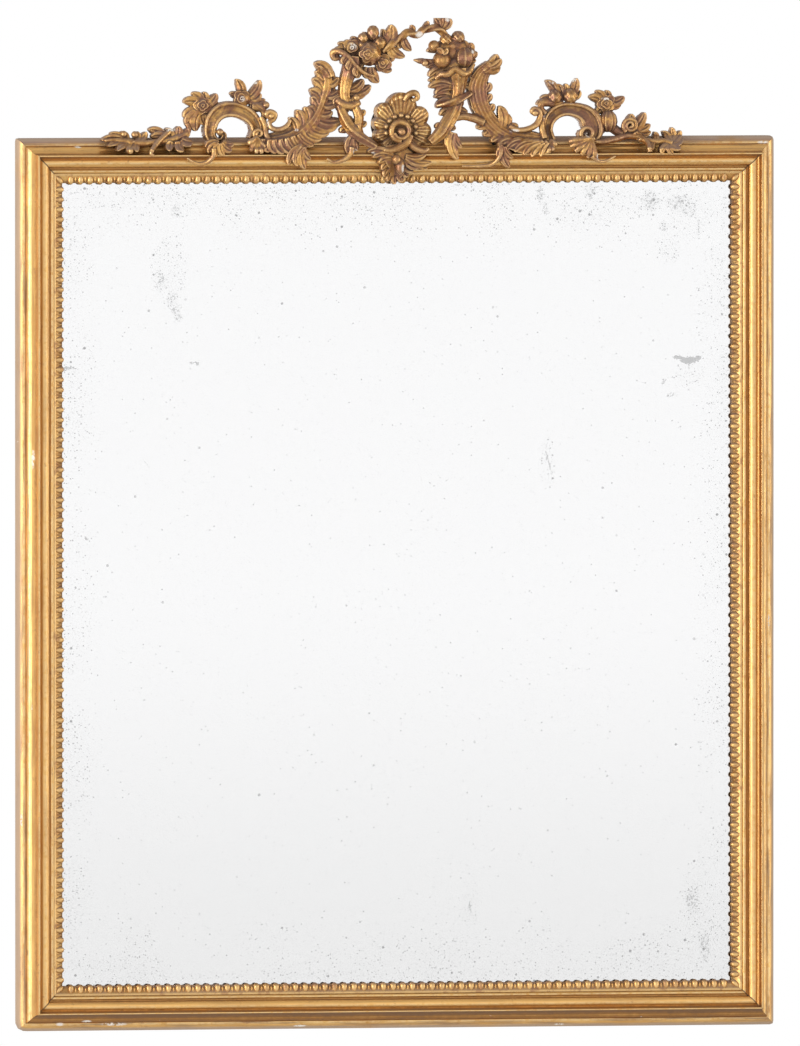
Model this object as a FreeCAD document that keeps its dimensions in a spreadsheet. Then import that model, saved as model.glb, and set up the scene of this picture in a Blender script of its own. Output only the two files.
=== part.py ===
"""Carved and gilded wall mirror, built piece by piece from one sheet of sizes.

Millimetres. +Z is up, the front faces -Y and the back lies on the wall plane Y = 0,
with the origin at the centre of the frame. A height is measured from the wall plane
towards the viewer, and an inset from the outer edge of the frame towards its middle.
"""
import FreeCAD
import Part
import Sketcher

import math
import operator
import os
from types import SimpleNamespace

V = FreeCAD.Vector

SIZES = {
    # outside of the frame
    "frame_width": 870,
    "frame_height": 1000,
    # moulding, member by member from the outer edge inwards
    "side_height": 6,
    "ovolo_width": 9.1,
    "ovolo_rise": 8.4,
    "ovolo_bulge": 2.4,
    "quirk_drop": 1,
    "quirk_width": 0.9,
    "reed_width": 4.2,
    "reed_rise": 7,
    "reed_bulge": 1.6,
    "cove_width": 4.6,
    "cove_rise": 15.6,
    "cove_hollow": 1.8,
    "ridge_width": 2.4,
    "ridge_rise": 2,
    "ridge_drop": 2.6,
    "slope_width": 12.3,
    "slope_fall": 9.7,
    "slope_bulge": 2.6,
    "channel_width": 1.5,
    "channel_drop": 2,
    "astragal_width": 4.8,
    "astragal_fall": 0.8,
    "astragal_bulge": 1.7,
    # lip at the sight edge and the two rebates behind it
    "lip_width": 10.8,
    "lip_thickness": 2.8,
    "plate_ledge": 7,
    "board_ledge": 5,
    # bead slips on the lip
    "slip_outer_height": 3.4,
    "slip_inner_height": 1,
    "bead_radius": 4.6,
    "bead_pitch": 11.2,
    "bead_overhang": 1.5,
    # glazing
    "plate_thickness": 3.5,
    "plate_clearance": 1,
    "silvering_thickness": 0.25,
    "block_thickness": 4,
    "block_length": 30,
    "block_width": 5,
    "board_thickness": 6,
    "board_clearance": 0.6,
    "board_joint": 0.8,
    # corner keys
    "key_leg": 26,
    "key_thickness": 3,
    "key_height": 1.5,
    # backboard nails
    "nail_radius": 1,
    "nail_length": 14,
    "nail_head_radius": 2.1,
    "nail_head_thickness": 0.9,
    "nail_sink": 0.3,
    "nail_inset": 44,
    "fastener_clearance": 0.12,
    # braces behind the crest
    "brace_width": 16,
    "brace_thickness": 6,
    "brace_tail": 28,
    "brace_rise": 20,
    "brace_spread": 220,
    "screw_radius": 1.6,
    "screw_length": 16,
    "screw_head_radius": 3.2,
    "screw_head_length": 1.8,
    "screw_edge": 8,
    # hanger plate, eye and ring
    "hanger_width": 46,
    "hanger_height": 28,
    "hanger_thickness": 2.5,
    "hanger_drop": 3,
    "eye_drop": 9.8,
    "eye_stand": 7.5,
    "eye_radius": 6.2,
    "eye_length": 9,
    "ring_radius": 23,
    "ring_bar_radius": 3,
    "ring_clearance": 0.8,
    "hanger_screw_drop": 9,
    "hanger_screw_edge": 7,
    # carved crest
    "crest_width": 663,
    "wing_front": 26,
    "spray_front": 21,
    "carving_skin": 4.5,
    "shell_back": 16,
    "shell_front": 42,
    "boss_radius": 12,
    "boss_rise": 9,
    "boss_hollow": 5,
    "boss_bead_radius": 4.6,
    "pendant_skin": 9,
    "horn_height": 30,
    "horn_tail_height": 40,
    "bouquet_height": 33,
    "bouquet_leaf_thickness": 9,
    "garland_height": 32,
    "garland_thickness": 9,
    "flower_height": 18,
    "flower_leaf_thickness": 9,
    # how far a cutting shape runs past what it cuts
    "overrun": 5,
}

# Lean of the ring towards the viewer at rest, in degrees.
RING_LEAN = 4

# Photograph: where the frame lies in it and the direction it was seen from.
FRAME_CENTRE_PX = 394.5
RAIL_TOP_PX = 135.7
RAIL_TOP_TILT = -0.0072
CREST_WIDTH_PX = 578
CREST_TOP_PX = 16
VIEW_YAW = math.radians(12.5)

# Outlines of the carving in photograph pixels.
LEFT_WING_PX = [
    (217, 147), (208, 138), (205, 127), (208, 114), (216, 105), (229, 101.5), (244, 103.5),
    (255, 110.5), (262, 119), (266, 112.5), (272, 111.5), (277, 116), (273, 121), (277, 126),
    (284, 124.5), (289.5, 117.5), (294, 111), (302, 107.3), (308, 110.5), (313, 98), (310.5, 91),
    (314, 80), (316.5, 72), (315.5, 64.5), (323, 61.5), (331, 67), (338, 76), (342, 86), (340, 97),
    (333, 104), (330, 111), (341, 117), (334, 125), (322, 136), (308, 150), (285, 152), (262, 152),
    (250, 150), (247.5, 143), (250.5, 127), (244, 119), (235, 116.5), (226, 119.5), (224, 124),
    (231, 134), (230, 146),
]
RIGHT_WING_PX = [
    (491, 56.5), (495.5, 52.5), (499.5, 58), (496.5, 66), (489.5, 69.5), (488.5, 82), (489, 93),
    (491.5, 104), (495, 108.5), (500.5, 105), (505, 110.5), (507.5, 118.5), (513, 123), (521, 124),
    (528, 121.5), (531, 117), (529.5, 111), (534.5, 107), (540, 109.5), (542, 115), (546.5, 117.5),
    (553, 109), (563, 103.5), (574, 101.5), (585, 103.5), (596.5, 109.5), (603.5, 118), (605.5, 127),
    (602.5, 136), (597, 146), (586, 148), (575, 143), (568, 134), (575, 129), (580, 123.5),
    (574, 117), (564.5, 114), (555, 118), (550.5, 125.5), (554, 133), (553, 142), (545, 150),
    (527, 152.5), (510, 148), (497, 144), (487, 138), (478.5, 130.5), (472.5, 124.5), (466.5, 120.5),
    (456, 121), (456, 114), (466.5, 112.5), (474, 111), (470.5, 101), (465, 93), (462, 84),
    (468.5, 77.5), (479, 67),
]
SHELL_PX = [
    (374.5, 133), (373, 120), (376.5, 106), (384, 102.5), (389, 101.5), (390, 95), (396, 93),
    (403, 95), (408, 91), (414, 91), (417, 99), (424, 106), (428.5, 115.5), (425.5, 123), (431, 131),
    (430, 141), (420, 150), (401, 154), (384, 150), (377, 143),
]
PENDANT_PX = [
    (367, 150), (383, 158), (386, 166), (383, 174), (388, 180), (395, 182.5), (402, 180), (407, 174),
    (413, 166), (425, 166), (431, 160), (424, 153), (412, 150), (396, 148), (382, 148),
]
GARLAND_PX = [
    (385, 52), (384, 43), (394, 38), (400, 33.5), (409, 27.5), (418, 27.5), (425, 26), (431, 24.5),
    (436, 24.5), (437, 18.5), (441, 17), (445.5, 16.5), (450.5, 19), (448.5, 24), (447, 29),
    (451, 32), (450, 38), (443, 40), (437, 34.5), (430, 34), (424, 39), (416, 42.5), (412, 48.5),
    (408, 45), (403, 43.5), (401, 46), (405.5, 53), (399, 56), (394, 50),
]
LEFT_SPRAY_PX = [
    (103, 140.5), (112, 135), (122, 131), (131, 133), (138, 131), (146, 135), (151, 129.5),
    (160, 128), (171, 128), (180, 126), (187, 122), (192, 128), (199, 133), (207, 139), (196, 144),
    (185, 146), (172, 147), (158, 153), (150, 153), (151, 147), (140, 149), (131, 152), (122, 148),
    (112, 144),
]
RIGHT_SPRAY_PX = [
    (600, 137), (612, 130), (620, 124), (624, 115), (632, 110.5), (644, 110), (645, 116), (642, 121),
    (650, 122), (650, 130), (648, 134), (655, 138), (662, 134), (668, 128), (673, 127), (675, 132),
    (680, 129), (681, 136), (677, 143), (673, 150), (664, 148), (655, 151), (648, 150), (644, 143),
    (632, 139), (622, 141), (608, 143),
]
LEFT_FLOWER_LEAF_PX = [
    (184, 101), (192, 98), (199, 93.5), (208, 96), (216, 93), (212, 101), (211, 112), (202, 119),
    (194, 130), (186, 126), (183, 117), (190, 110),
]
LEFT_BUD_LEAF_PX = [
    (234, 92), (236, 79), (243, 84), (250, 84), (259, 81), (256, 91), (263, 97), (268, 104), (262, 112),
    (252, 108), (242, 106),
]
RIGHT_FLOWER_LEAF_PX = [
    (594, 94.5), (600, 91), (608, 92.5), (616, 92.5), (623, 95), (618, 99), (617, 108), (618, 117),
    (612, 126), (604, 122), (600, 112), (597, 104),
]
RIGHT_BUD_LEAF_PX = [
    (547, 81), (553, 77.5), (560, 82), (566, 79), (575, 76.5), (576, 82), (578, 91), (577, 103),
    (565, 105), (550, 108), (541, 108), (541, 100), (549, 97), (552, 88),
]
LEFT_BOUQUET_LEAF_PX = [
    (379, 42), (383, 30), (389, 23.5), (395, 27), (396, 38), (392, 47), (387, 54), (391, 62), (386, 71),
    (378, 79.5), (371, 75), (368, 67), (361, 70), (364, 77), (370, 82), (364, 89), (355, 88.5), (352, 78),
    (355, 66), (348, 57), (346, 50), (352, 44), (364, 40),
]
RIGHT_BOUQUET_LEAF_PX = [
    (414, 59), (423, 56), (430, 52), (432.5, 45), (441, 41), (452, 38), (466, 41), (475, 48), (476, 56),
    (472, 66), (463, 74), (452, 76), (444, 84), (440, 93), (430, 85), (437, 79), (429, 73), (431, 65),
    (424, 62.5),
]
LEFT_TENDRIL_PX = [
    (296, 146), (307, 146), (310, 157), (304, 167.5), (294, 167), (287, 163.5), (295, 159),
]
LEFT_HOOK_PX = [
    (206, 144), (220, 144), (225, 150), (216, 154), (212, 161), (201, 164.5), (188, 159), (200, 159.5),
    (206, 154),
]
RIGHT_TENDRIL_PX = [
    (496, 142), (505, 144), (509, 155), (512, 165), (491, 166), (496, 161), (500, 153),
]
RIGHT_HOOK_PX = [
    (570, 140), (586, 140), (598, 144), (597, 152), (602, 160), (594, 159), (584, 154), (575, 148),
]
# Rounds of the carving: centre and radius in photograph pixels.
LEFT_BOUQUET_BALLS_PX = [
    (369, 53, 11), (352, 46, 7.5), (363, 37, 6), (373, 31, 7), (383, 62, 7.5), (341, 47, 6.5), (336, 53, 6),
]
RIGHT_BOUQUET_BALLS_PX = [
    (433, 45, 5.8), (446, 39, 6.3), (458, 35.5, 6.3), (442, 59, 8.8), (464, 57, 9.2), (468, 46, 7.5),
]
LEFT_FLOWER_BALLS_PX = [(202, 105, 9.5)]
LEFT_BUD_BALLS_PX = [(242, 96.5, 8.5)]
RIGHT_FLOWER_BALLS_PX = [(607, 101, 9), (609, 117, 7.5)]
RIGHT_BUD_BALLS_PX = [(555, 94.5, 6.5), (572, 93, 7)]
# Horns: centre and radius of each round section in photograph pixels, tail first.
LEFT_HORN_PX = [
    (376, 146, 4), (366, 139.5, 5), (357, 130, 5.5), (350, 116, 6), (345.5, 103, 6.5), (346, 90, 6),
    (348.5, 77, 6.5), (352, 65, 8), (354, 58, 9.5),
]
RIGHT_HORN_PX = [
    (430, 140, 4.5), (440, 131, 6), (448, 119, 7), (454, 107, 7.5), (457.5, 95, 7), (458.5, 84, 7),
    (458.5, 76, 8), (458.5, 68, 11),
]
BOSS_PX = (401, 130)

# Shares of the opening at which nails and glazing blocks stand along a side.
SIDE_BLOCK_SHARES = (-0.36, 0, 0.36)
EDGE_NAIL_SHARES = (-0.3, 0, 0.3)


# Sizes that can be added up and still be bound to the sheet

SIGNS = {"+": operator.add, "-": operator.sub, "*": operator.mul, "/": operator.truediv}


class Size:
    """A length together with the sheet expression it comes from."""

    def __init__(self, value, text):
        self.value = value
        self.text = text

    def __add__(self, other):
        return combine(self, "+", other)

    def __radd__(self, other):
        return combine(other, "+", self)

    def __sub__(self, other):
        return combine(self, "-", other)

    def __rsub__(self, other):
        return combine(other, "-", self)

    def __mul__(self, other):
        return combine(self, "*", other)

    def __rmul__(self, other):
        return combine(other, "*", self)

    def __truediv__(self, other):
        return combine(self, "/", other)

    def __neg__(self):
        return combine(0, "-", self)


def as_size(number):
    return number if isinstance(number, Size) else Size(number, f"{number}")


def combine(left, sign, right):
    left, right = as_size(left), as_size(right)
    return Size(SIGNS[sign](left.value, right.value), f"({left.text} {sign} {right.text})")


def bind(thing, path, size):
    thing.setExpression(path, as_size(size).text)


def place(thing, x, y, z, rotation=FreeCAD.Rotation()):
    """Put a thing at bound coordinates, turned by a fixed rotation."""
    spot = [as_size(value) for value in (x, y, z)]
    thing.Placement = FreeCAD.Placement(V(*(size.value for size in spot)), rotation)
    for letter, size in zip("xyz", spot):
        bind(thing, f"Placement.Base.{letter}", size)


doc = FreeCAD.newDocument("WallMirror")
sheet = doc.addObject("Spreadsheet::Sheet", "Sizes")
for row, (alias, number) in enumerate(SIZES.items(), start=1):
    sheet.set(f"A{row}", alias)
    sheet.set(f"B{row}", str(number))
    sheet.setAlias(f"B{row}", alias)
doc.recompute()
S = SimpleNamespace(**{alias: Size(float(sheet.get(alias)), f"Sizes.{alias}") for alias in SIZES})

nodes = []


def as_node(thing, label):
    """Give a finished piece its node name and list it for writing."""
    thing.Label = label
    nodes.append(thing)
    return thing


# Insets and heights of the moulding

inset = SimpleNamespace()
inset.ovolo = S.ovolo_width
inset.quirk = inset.ovolo + S.quirk_width
inset.reed = inset.quirk + S.reed_width
inset.cove = inset.reed + S.cove_width
inset.ridge = inset.cove + S.ridge_width
inset.slope = inset.ridge + S.slope_width
inset.channel = inset.slope + S.channel_width
inset.astragal = inset.channel + S.astragal_width
inset.sight = inset.astragal + S.lip_width
inset.plate = inset.sight - S.plate_ledge
inset.board = inset.plate - S.board_ledge

height = SimpleNamespace()
height.side = S.side_height
height.ovolo = height.side + S.ovolo_rise
height.quirk = height.ovolo - S.quirk_drop
height.reed = height.quirk + S.reed_rise
height.cove = height.reed + S.cove_rise
height.ridge = height.cove + S.ridge_rise
height.slope = height.ridge - S.ridge_drop
height.foot = height.slope - S.slope_fall
height.channel = height.foot - S.channel_drop
height.astragal = height.channel - S.astragal_fall
height.board = S.board_thickness
height.block = height.board + S.block_thickness
height.silvering = height.block + S.silvering_thickness
height.plate = height.silvering + S.plate_thickness
height.lip = height.plate + S.lip_thickness

frame_top = S.frame_height / 2
frame_side = S.frame_width / 2

# The four sides of the frame: the own axes of a side are its run, its height and its inset.
TOP_TURN = FreeCAD.Rotation(V(1, 0, 0), V(0, -1, 0), V(0, 0, -1), "XYZ")
BOTTOM_TURN = FreeCAD.Rotation(V(-1, 0, 0), V(0, -1, 0), V(0, 0, 1), "XYZ")
LEFT_TURN = FreeCAD.Rotation(V(0, 0, 1), V(0, -1, 0), V(1, 0, 0), "XYZ")
RIGHT_TURN = FreeCAD.Rotation(V(0, 0, -1), V(0, -1, 0), V(-1, 0, 0), "XYZ")
SIDES = {
    "top": (S.frame_width, (0, 0, frame_top), TOP_TURN),
    "bottom": (S.frame_width, (0, 0, -frame_top), BOTTOM_TURN),
    "left": (S.frame_height, (-frame_side, 0, 0), LEFT_TURN),
    "right": (S.frame_height, (frame_side, 0, 0), RIGHT_TURN),
}
# From the back into the wood, towards the viewer.
FRONT = V(0, -1, 0)
INTO_WOOD = FreeCAD.Rotation(V(1, 0, 0), 90)


# Drawing and joining helpers

def origin_feature(body, role):
    return next(feature for feature in body.Origin.OriginFeatures if feature.Role == role)


def new_sketch(body, plane, name):
    sketch = body.newObject("Sketcher::SketchObject", name)
    sketch.AttachmentSupport = (origin_feature(body, plane), [""])
    sketch.MapMode = "FlatFace"
    return sketch


def edge_ends(bulge):
    """Start and end of an edge as the sketch counts them: a hollow arc runs backwards."""
    return (2, 1) if bulge is not None and bulge.value < 0 else (1, 2)


def fix_coordinate(sketch, edge, point, kind, size):
    """Hold one coordinate of a point at a bound size, or on the axis where it is zero."""
    size = as_size(size)
    if size.value == 0:
        axis = -2 if kind == "DistanceX" else -1
        sketch.addConstraint(Sketcher.Constraint("PointOnObject", edge, point, axis))
        return
    number = sketch.addConstraint(Sketcher.Constraint(kind, -1, 1, edge, point, size.value))
    bind(sketch, f"Constraints[{number}]", size)


def draw_outline(sketch, corners):
    """Draw a closed outline through bound corners (x, y, bulge of the edge that follows or None)."""
    first = sketch.GeometryCount
    count = len(corners)
    points = [V(as_size(x).value, as_size(y).value, 0) for x, y, bulge in corners]
    for index, (x, y, bulge) in enumerate(corners):
        start, end = points[index], points[(index + 1) % count]
        if bulge is None:
            sketch.addGeometry(Part.LineSegment(start, end), False)
            continue
        chord = end - start
        outward = V(chord.y, -chord.x, 0).normalize()
        sketch.addGeometry(Part.Arc(start, (start + end) / 2 + outward * bulge.value, end), False)
    for index, (x, y, bulge) in enumerate(corners):
        follower = (index + 1) % count
        tail, head = edge_ends(bulge)
        follower_tail = edge_ends(corners[follower][2])[0]
        sketch.addConstraint(
            Sketcher.Constraint("Coincident", first + index, head, first + follower, follower_tail))
    for index, (x, y, bulge) in enumerate(corners):
        tail = edge_ends(bulge)[0]
        fix_coordinate(sketch, first + index, tail, "DistanceX", x)
        fix_coordinate(sketch, first + index, tail, "DistanceY", y)
        if bulge is None:
            continue
        next_x, next_y = corners[(index + 1) % count][:2]
        chord_square = (next_x - x) * (next_x - x) + (next_y - y) * (next_y - y)
        rise = bulge if bulge.value > 0 else -bulge
        radius = (chord_square / 4 + rise * rise) / (2 * rise)
        number = sketch.addConstraint(Sketcher.Constraint("Radius", first + index, radius.value))
        bind(sketch, f"Constraints[{number}]", radius)


def pad_both_ways(body, sketch, length):
    pad = body.newObject("PartDesign::Pad", f"{body.Name}Pad")
    pad.Profile = sketch
    pad.SideType = "Symmetric"
    bind(pad, "Length", length)
    return pad


def mitre_ends(body, run):
    """Cut both ends of a side at 45 degrees."""
    sketch = new_sketch(body, "XZ_Plane", f"{body.Name}Mitre")
    far = run / 2 + S.overrun
    depth = inset.sight + S.bead_overhang + S.overrun
    for sign in (1, -1):
        draw_outline(sketch, [
            (sign * far, -S.overrun, None),
            (sign * far, depth, None),
            (sign * (run / 2 - depth), depth, None),
        ])
    pocket = body.newObject("PartDesign::Pocket", f"{body.Name}MitrePocket")
    pocket.Profile = sketch
    pocket.SideType = "Symmetric"
    pocket.Type = "ThroughAll"
    return pocket


def box(name, length, depth, tall, x, y, z):
    """A box by its low corner."""
    thing = doc.addObject("Part::Box", name)
    bind(thing, "Length", length)
    bind(thing, "Width", depth)
    bind(thing, "Height", tall)
    place(thing, x, y, z)
    return thing


def pin(name, radius, length, x, back, z):
    """A cylinder that runs from a height at the back into the wood."""
    thing = doc.addObject("Part::Cylinder", name)
    bind(thing, "Radius", radius)
    bind(thing, "Height", length)
    place(thing, x, -back, z, INTO_WOOD)
    return thing


def sink(name, wide, narrow, length, x, back, z):
    """A cone that narrows from a height at the back into the wood."""
    thing = doc.addObject("Part::Cone", name)
    bind(thing, "Radius1", wide)
    bind(thing, "Radius2", narrow)
    bind(thing, "Height", length)
    place(thing, x, -back, z, INTO_WOOD)
    return thing


def fuse(name, pieces):
    thing = doc.addObject("Part::MultiFuse", name)
    thing.Shapes = pieces
    return thing


def gather(name, pieces):
    thing = doc.addObject("Part::Compound", name)
    thing.Links = pieces
    return thing


def cut(name, base, tools):
    thing = doc.addObject("Part::Cut", name)
    thing.Base = base
    thing.Tool = tools[0] if len(tools) == 1 else gather(f"{name}Tools", tools)
    return thing


# Frame

def moulded_side(name):
    """One mitred length of the moulding, with the rebates for plate and boards."""
    run, spot, turn = SIDES[name]
    body = doc.addObject("PartDesign::Body", f"{name}_moulding")
    sketch = new_sketch(body, "YZ_Plane", f"{name}_profile")
    draw_outline(sketch, [
        (0, 0, None),
        (height.side, 0, S.ovolo_bulge),
        (height.ovolo, inset.ovolo, None),
        (height.quirk, inset.quirk, S.reed_bulge),
        (height.reed, inset.reed, -S.cove_hollow),
        (height.cove, inset.cove, None),
        (height.ridge, inset.cove, None),
        (height.ridge, inset.ridge, None),
        (height.slope, inset.ridge, S.slope_bulge),
        (height.foot, inset.slope, None),
        (height.channel, inset.slope, None),
        (height.channel, inset.channel, S.astragal_bulge),
        (height.astragal, inset.astragal, None),
        (height.lip, inset.astragal, None),
        (height.lip, inset.sight, None),
        (height.plate, inset.sight, None),
        (height.plate, inset.plate, None),
        (height.board, inset.plate, None),
        (height.board, inset.board, None),
        (0, inset.board, None),
    ])
    pad_both_ways(body, sketch, run)
    mitre_ends(body, run)
    place(body, *spot, turn)
    return body


def bead_slip(name):
    """Carved bead course on the lip: a tapered strip with a row of half balls."""
    run, spot, turn = SIDES[name]
    body = doc.addObject("PartDesign::Body", f"{name}_slip")
    sketch = new_sketch(body, "YZ_Plane", f"{name}_slip_profile")
    draw_outline(sketch, [
        (height.lip, inset.astragal, None),
        (height.lip + S.slip_outer_height, inset.astragal, None),
        (height.lip + S.slip_inner_height, inset.sight, None),
        (height.lip, inset.sight, None),
    ])
    pad_both_ways(body, sketch, run)
    mitre_ends(body, run)
    bead_inset = inset.sight + S.bead_overhang - S.bead_radius
    free_run = run - 2 * (inset.sight + S.bead_overhang + S.bead_radius)
    gaps = int(free_run.value // S.bead_pitch.value)
    row_length = S.bead_pitch * gaps
    bead = body.newObject("PartDesign::AdditiveSphere", f"{name}_bead")
    bind(bead, "Radius", S.bead_radius)
    bead.Angle1 = 0
    place(bead, -row_length / 2, height.lip, bead_inset, FreeCAD.Rotation(V(1, 0, 0), -90))
    row = body.newObject("PartDesign::LinearPattern", f"{name}_beads")
    row.Originals = [bead]
    row.Direction = (origin_feature(body, "X_Axis"), [""])
    bind(row, "Length", row_length)
    row.Occurrences = gaps + 1
    body.Tip = row
    place(body, *spot, turn)
    return as_node(body, f"{name}_bead_slip")


def corner_keys():
    """Triangular keys let into the outer corners across the mitres."""
    keys = []
    for number, (across, up) in enumerate([(1, 1), (-1, 1), (-1, -1), (1, -1)]):
        key = doc.addObject("Part::Wedge", f"key_{number}")
        for path in ("Xmax", "Ymax"):
            bind(key, path, S.key_leg)
        bind(key, "Zmax", S.key_thickness)
        bind(key, "Z2max", S.key_thickness)
        for path in ("Xmin", "Ymin", "Zmin", "X2min", "Z2min", "X2max"):
            setattr(key, path, 0)
        inward = V(-across, 0, 0)
        downward = V(0, 0, -up)
        axes = (inward, downward) if across * up > 0 else (downward, inward)
        turn = FreeCAD.Rotation(axes[0], axes[1], axes[0].cross(axes[1]), "XYZ")
        front = turn.multVec(V(0, 0, 1)).y < 0
        level = S.key_height if front else S.key_height + S.key_thickness
        place(key, across * frame_side, -level, up * frame_top, turn)
        keys.append(key)
    return keys


# Fasteners

def nail_spots():
    """Places of the backboard nails, by the side whose ledge they enter."""
    ledge_middle = (inset.board + S.board_clearance + inset.plate) / 2
    side_x = frame_side - ledge_middle
    edge_z = frame_top - ledge_middle
    spots = {"top": [], "bottom": [], "left": [], "right": []}
    for share in EDGE_NAIL_SHARES:
        x = S.frame_width * share
        spots["top"].append((x, edge_z))
        spots["bottom"].append((x, -edge_z))
    for low, high in board_levels():
        for z in (low + S.nail_inset, high - S.nail_inset):
            spots["left"].append((-side_x, z))
            spots["right"].append((side_x, z))
    return spots


def board_levels():
    """Lower and upper edge of each backboard, lowest first."""
    edge = frame_top - inset.board - S.board_clearance
    pitch = (2 * edge + S.board_joint) / 3
    return [(pitch * number - edge, pitch * (number + 1) - edge - S.board_joint) for number in range(3)]


def nail(name, x, z):
    head = pin(f"{name}_head", S.nail_head_radius, S.nail_head_thickness, x, S.nail_sink, z)
    shank = pin(f"{name}_shank", S.nail_radius, S.nail_length, x, S.nail_sink, z)
    return fuse(name, [head, shank])


def nail_hole(name, x, z):
    """Clear hole for a nail, with the pocket that its head is driven into."""
    clear = S.fastener_clearance
    pocket_depth = S.nail_sink + S.nail_head_thickness + clear
    pocket = pin(f"{name}_pocket", S.nail_head_radius + clear, pocket_depth, x, 0, z)
    bore = pin(f"{name}_bore", S.nail_radius + clear, S.nail_sink + S.nail_length + clear, x, 0, z)
    return fuse(name, [pocket, bore])


def screw(name, x, back, z, loose):
    """Countersunk screw entering at a height, or the hole for one if loose is a clearance."""
    head_length = S.screw_head_length
    head = sink(f"{name}_head", S.screw_head_radius + loose, S.screw_radius + loose, head_length, x, back, z)
    shank = pin(f"{name}_shank", S.screw_radius + loose, S.screw_length + loose, x, back, z)
    return fuse(name, [head, shank])


# Carving

across_scale = S.crest_width.value / CREST_WIDTH_PX
up_scale = across_scale * math.cos(VIEW_YAW)


def crest_point(px, py, level):
    """The place of a photograph pixel on a plane at a height above the wall."""
    rail_top = RAIL_TOP_PX + RAIL_TOP_TILT * (px - FRAME_CENTRE_PX)
    x = (px - FRAME_CENTRE_PX) * across_scale - level * math.tan(VIEW_YAW)
    return V(x, -level, frame_top.value + (rail_top - py) * up_scale)


def fretted(pixels, back, front):
    """A board fretted to a smooth outline, between two heights."""
    points = [crest_point(px, py, front) for px, py in pixels]
    parameters = [0]
    for start, end in zip(points, points[1:] + points[:1]):
        parameters.append(parameters[-1] + math.sqrt((end - start).Length))
    curve = Part.BSplineCurve()
    curve.interpolate(Points=points, Parameters=parameters, PeriodicFlag=True)
    face = Part.Face(Part.Wire(curve.toShape()))
    return face.extrude(V(0, front - back, 0))


def rounds(balls, level):
    """Balls by centre and radius in pixels, on a plane at a height."""
    return [Part.makeSphere(radius * up_scale, crest_point(px, py, level)) for px, py, radius in balls]


def horn_tube(sections, levels):
    """A tapering round horn through sections by centre and radius in pixels."""
    centres = [crest_point(px, py, level) for (px, py, radius), level in zip(sections, levels)]
    rings = []
    last = len(sections) - 1
    for index, (px, py, radius) in enumerate(sections):
        heading = centres[min(index + 1, last)] - centres[max(index - 1, 0)]
        ring = Part.Wire(Part.makeCircle(radius * up_scale))
        ring.Placement = FreeCAD.Placement(centres[index], FreeCAD.Rotation(FRONT, V(), heading, "ZXY"))
        rings.append(ring)
    return Part.makeLoft(rings, True, False)


def carving_blank(front, skin):
    """Everything behind the front of the carving: flat above the rail, then following its moulding."""
    top = -((RAIL_TOP_PX - CREST_TOP_PX) * up_scale + S.overrun.value)
    end = (inset.sight + S.bead_overhang).value + skin
    bead_front = (height.lip + S.bead_radius).value
    profile = [
        (0, top), (front, top), (front, -skin),
        (max(front, height.reed.value + skin), 0),
        (height.ridge.value + skin, inset.reed.value),
        (height.ridge.value + skin, inset.ridge.value + skin / 2),
        (height.foot.value + S.slope_bulge.value + skin, inset.slope.value),
        (bead_front + skin, inset.sight.value),
        (bead_front, end), (height.lip.value, end), (height.lip.value, 0), (0, 0),
    ]
    half = S.crest_width.value / 2 + S.overrun.value
    points = [V(-half, -level, frame_top.value - depth) for level, depth in profile]
    return Part.Face(Part.makePolygon(points + points[:1])).extrude(V(2 * half, 0, 0))


def carve(label, solids, seats):
    """Join solids into one carved piece, cut it to fit its seats and make it a node."""
    shape = solids[0].multiFuse(solids[1:]) if len(solids) > 1 else solids[0]
    for seat in seats:
        shape = shape.cut(seat.Shape)
    piece = doc.addObject("Part::Feature", label)
    piece.Shape = max(shape.Solids, key=lambda solid: solid.Volume)
    piece.Placement = FreeCAD.Placement()
    return as_node(piece, label)


def applied(pixels, back, front, skin):
    """A carving fretted to an outline and worked down to the carving blank."""
    bold_front = height.ridge.value + skin + S.overrun.value
    return fretted(pixels, back, bold_front).common(carving_blank(front, skin))


def wing(label, pixels, seats):
    return carve(label, [applied(pixels, S.brace_thickness.value, S.wing_front.value,
                                 S.carving_skin.value)], seats)


def horn(label, sections, seats):
    """Horn whose tail comes forward to the shell."""
    body_level, tail_level = S.horn_height.value, S.horn_tail_height.value
    last = len(sections) - 1
    levels = [tail_level + (body_level - tail_level) * min(1, 2 * index / last) for index in range(last + 1)]
    return carve(label, [horn_tube(sections, levels)], seats)


def cluster(label, balls, leaves, level, thickness, seats):
    """Rounds set in a bed of leaves."""
    bed = fretted(leaves, level - thickness / 2, level + thickness / 2)
    return carve(label, rounds(balls, level) + [bed], seats)


def shell_boss(seat_level):
    """Turned boss with a sunk ring and a bead, on the front of the shell."""
    body = doc.addObject("PartDesign::Body", "boss")
    sketch = new_sketch(body, "XZ_Plane", "boss_profile")
    rim = S.boss_radius - S.boss_bead_radius
    draw_outline(sketch, [
        (0, 0, None),
        (S.boss_radius, 0, None),
        ((S.boss_radius + rim) / 2, S.boss_rise, None),
        (S.boss_bead_radius, S.boss_rise - S.boss_hollow, None),
        (0, S.boss_rise, None),
    ])
    turned = body.newObject("PartDesign::Revolution", "boss_turning")
    turned.Profile = sketch
    turned.ReferenceAxis = (sketch, ["V_Axis"])
    spot = crest_point(*BOSS_PX, seat_level.value)
    place(body, spot.x, -seat_level, spot.z, FreeCAD.Rotation(V(1, 0, 0), 90))
    return as_node(body, "shell_boss")


# Build: frame, glazing and hardware

slips = {name: bead_slip(name) for name in SIDES}
mouldings = {name: moulded_side(name) for name in SIDES}
keys = corner_keys()
as_node(gather("keys", keys), "corner_keys")

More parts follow.
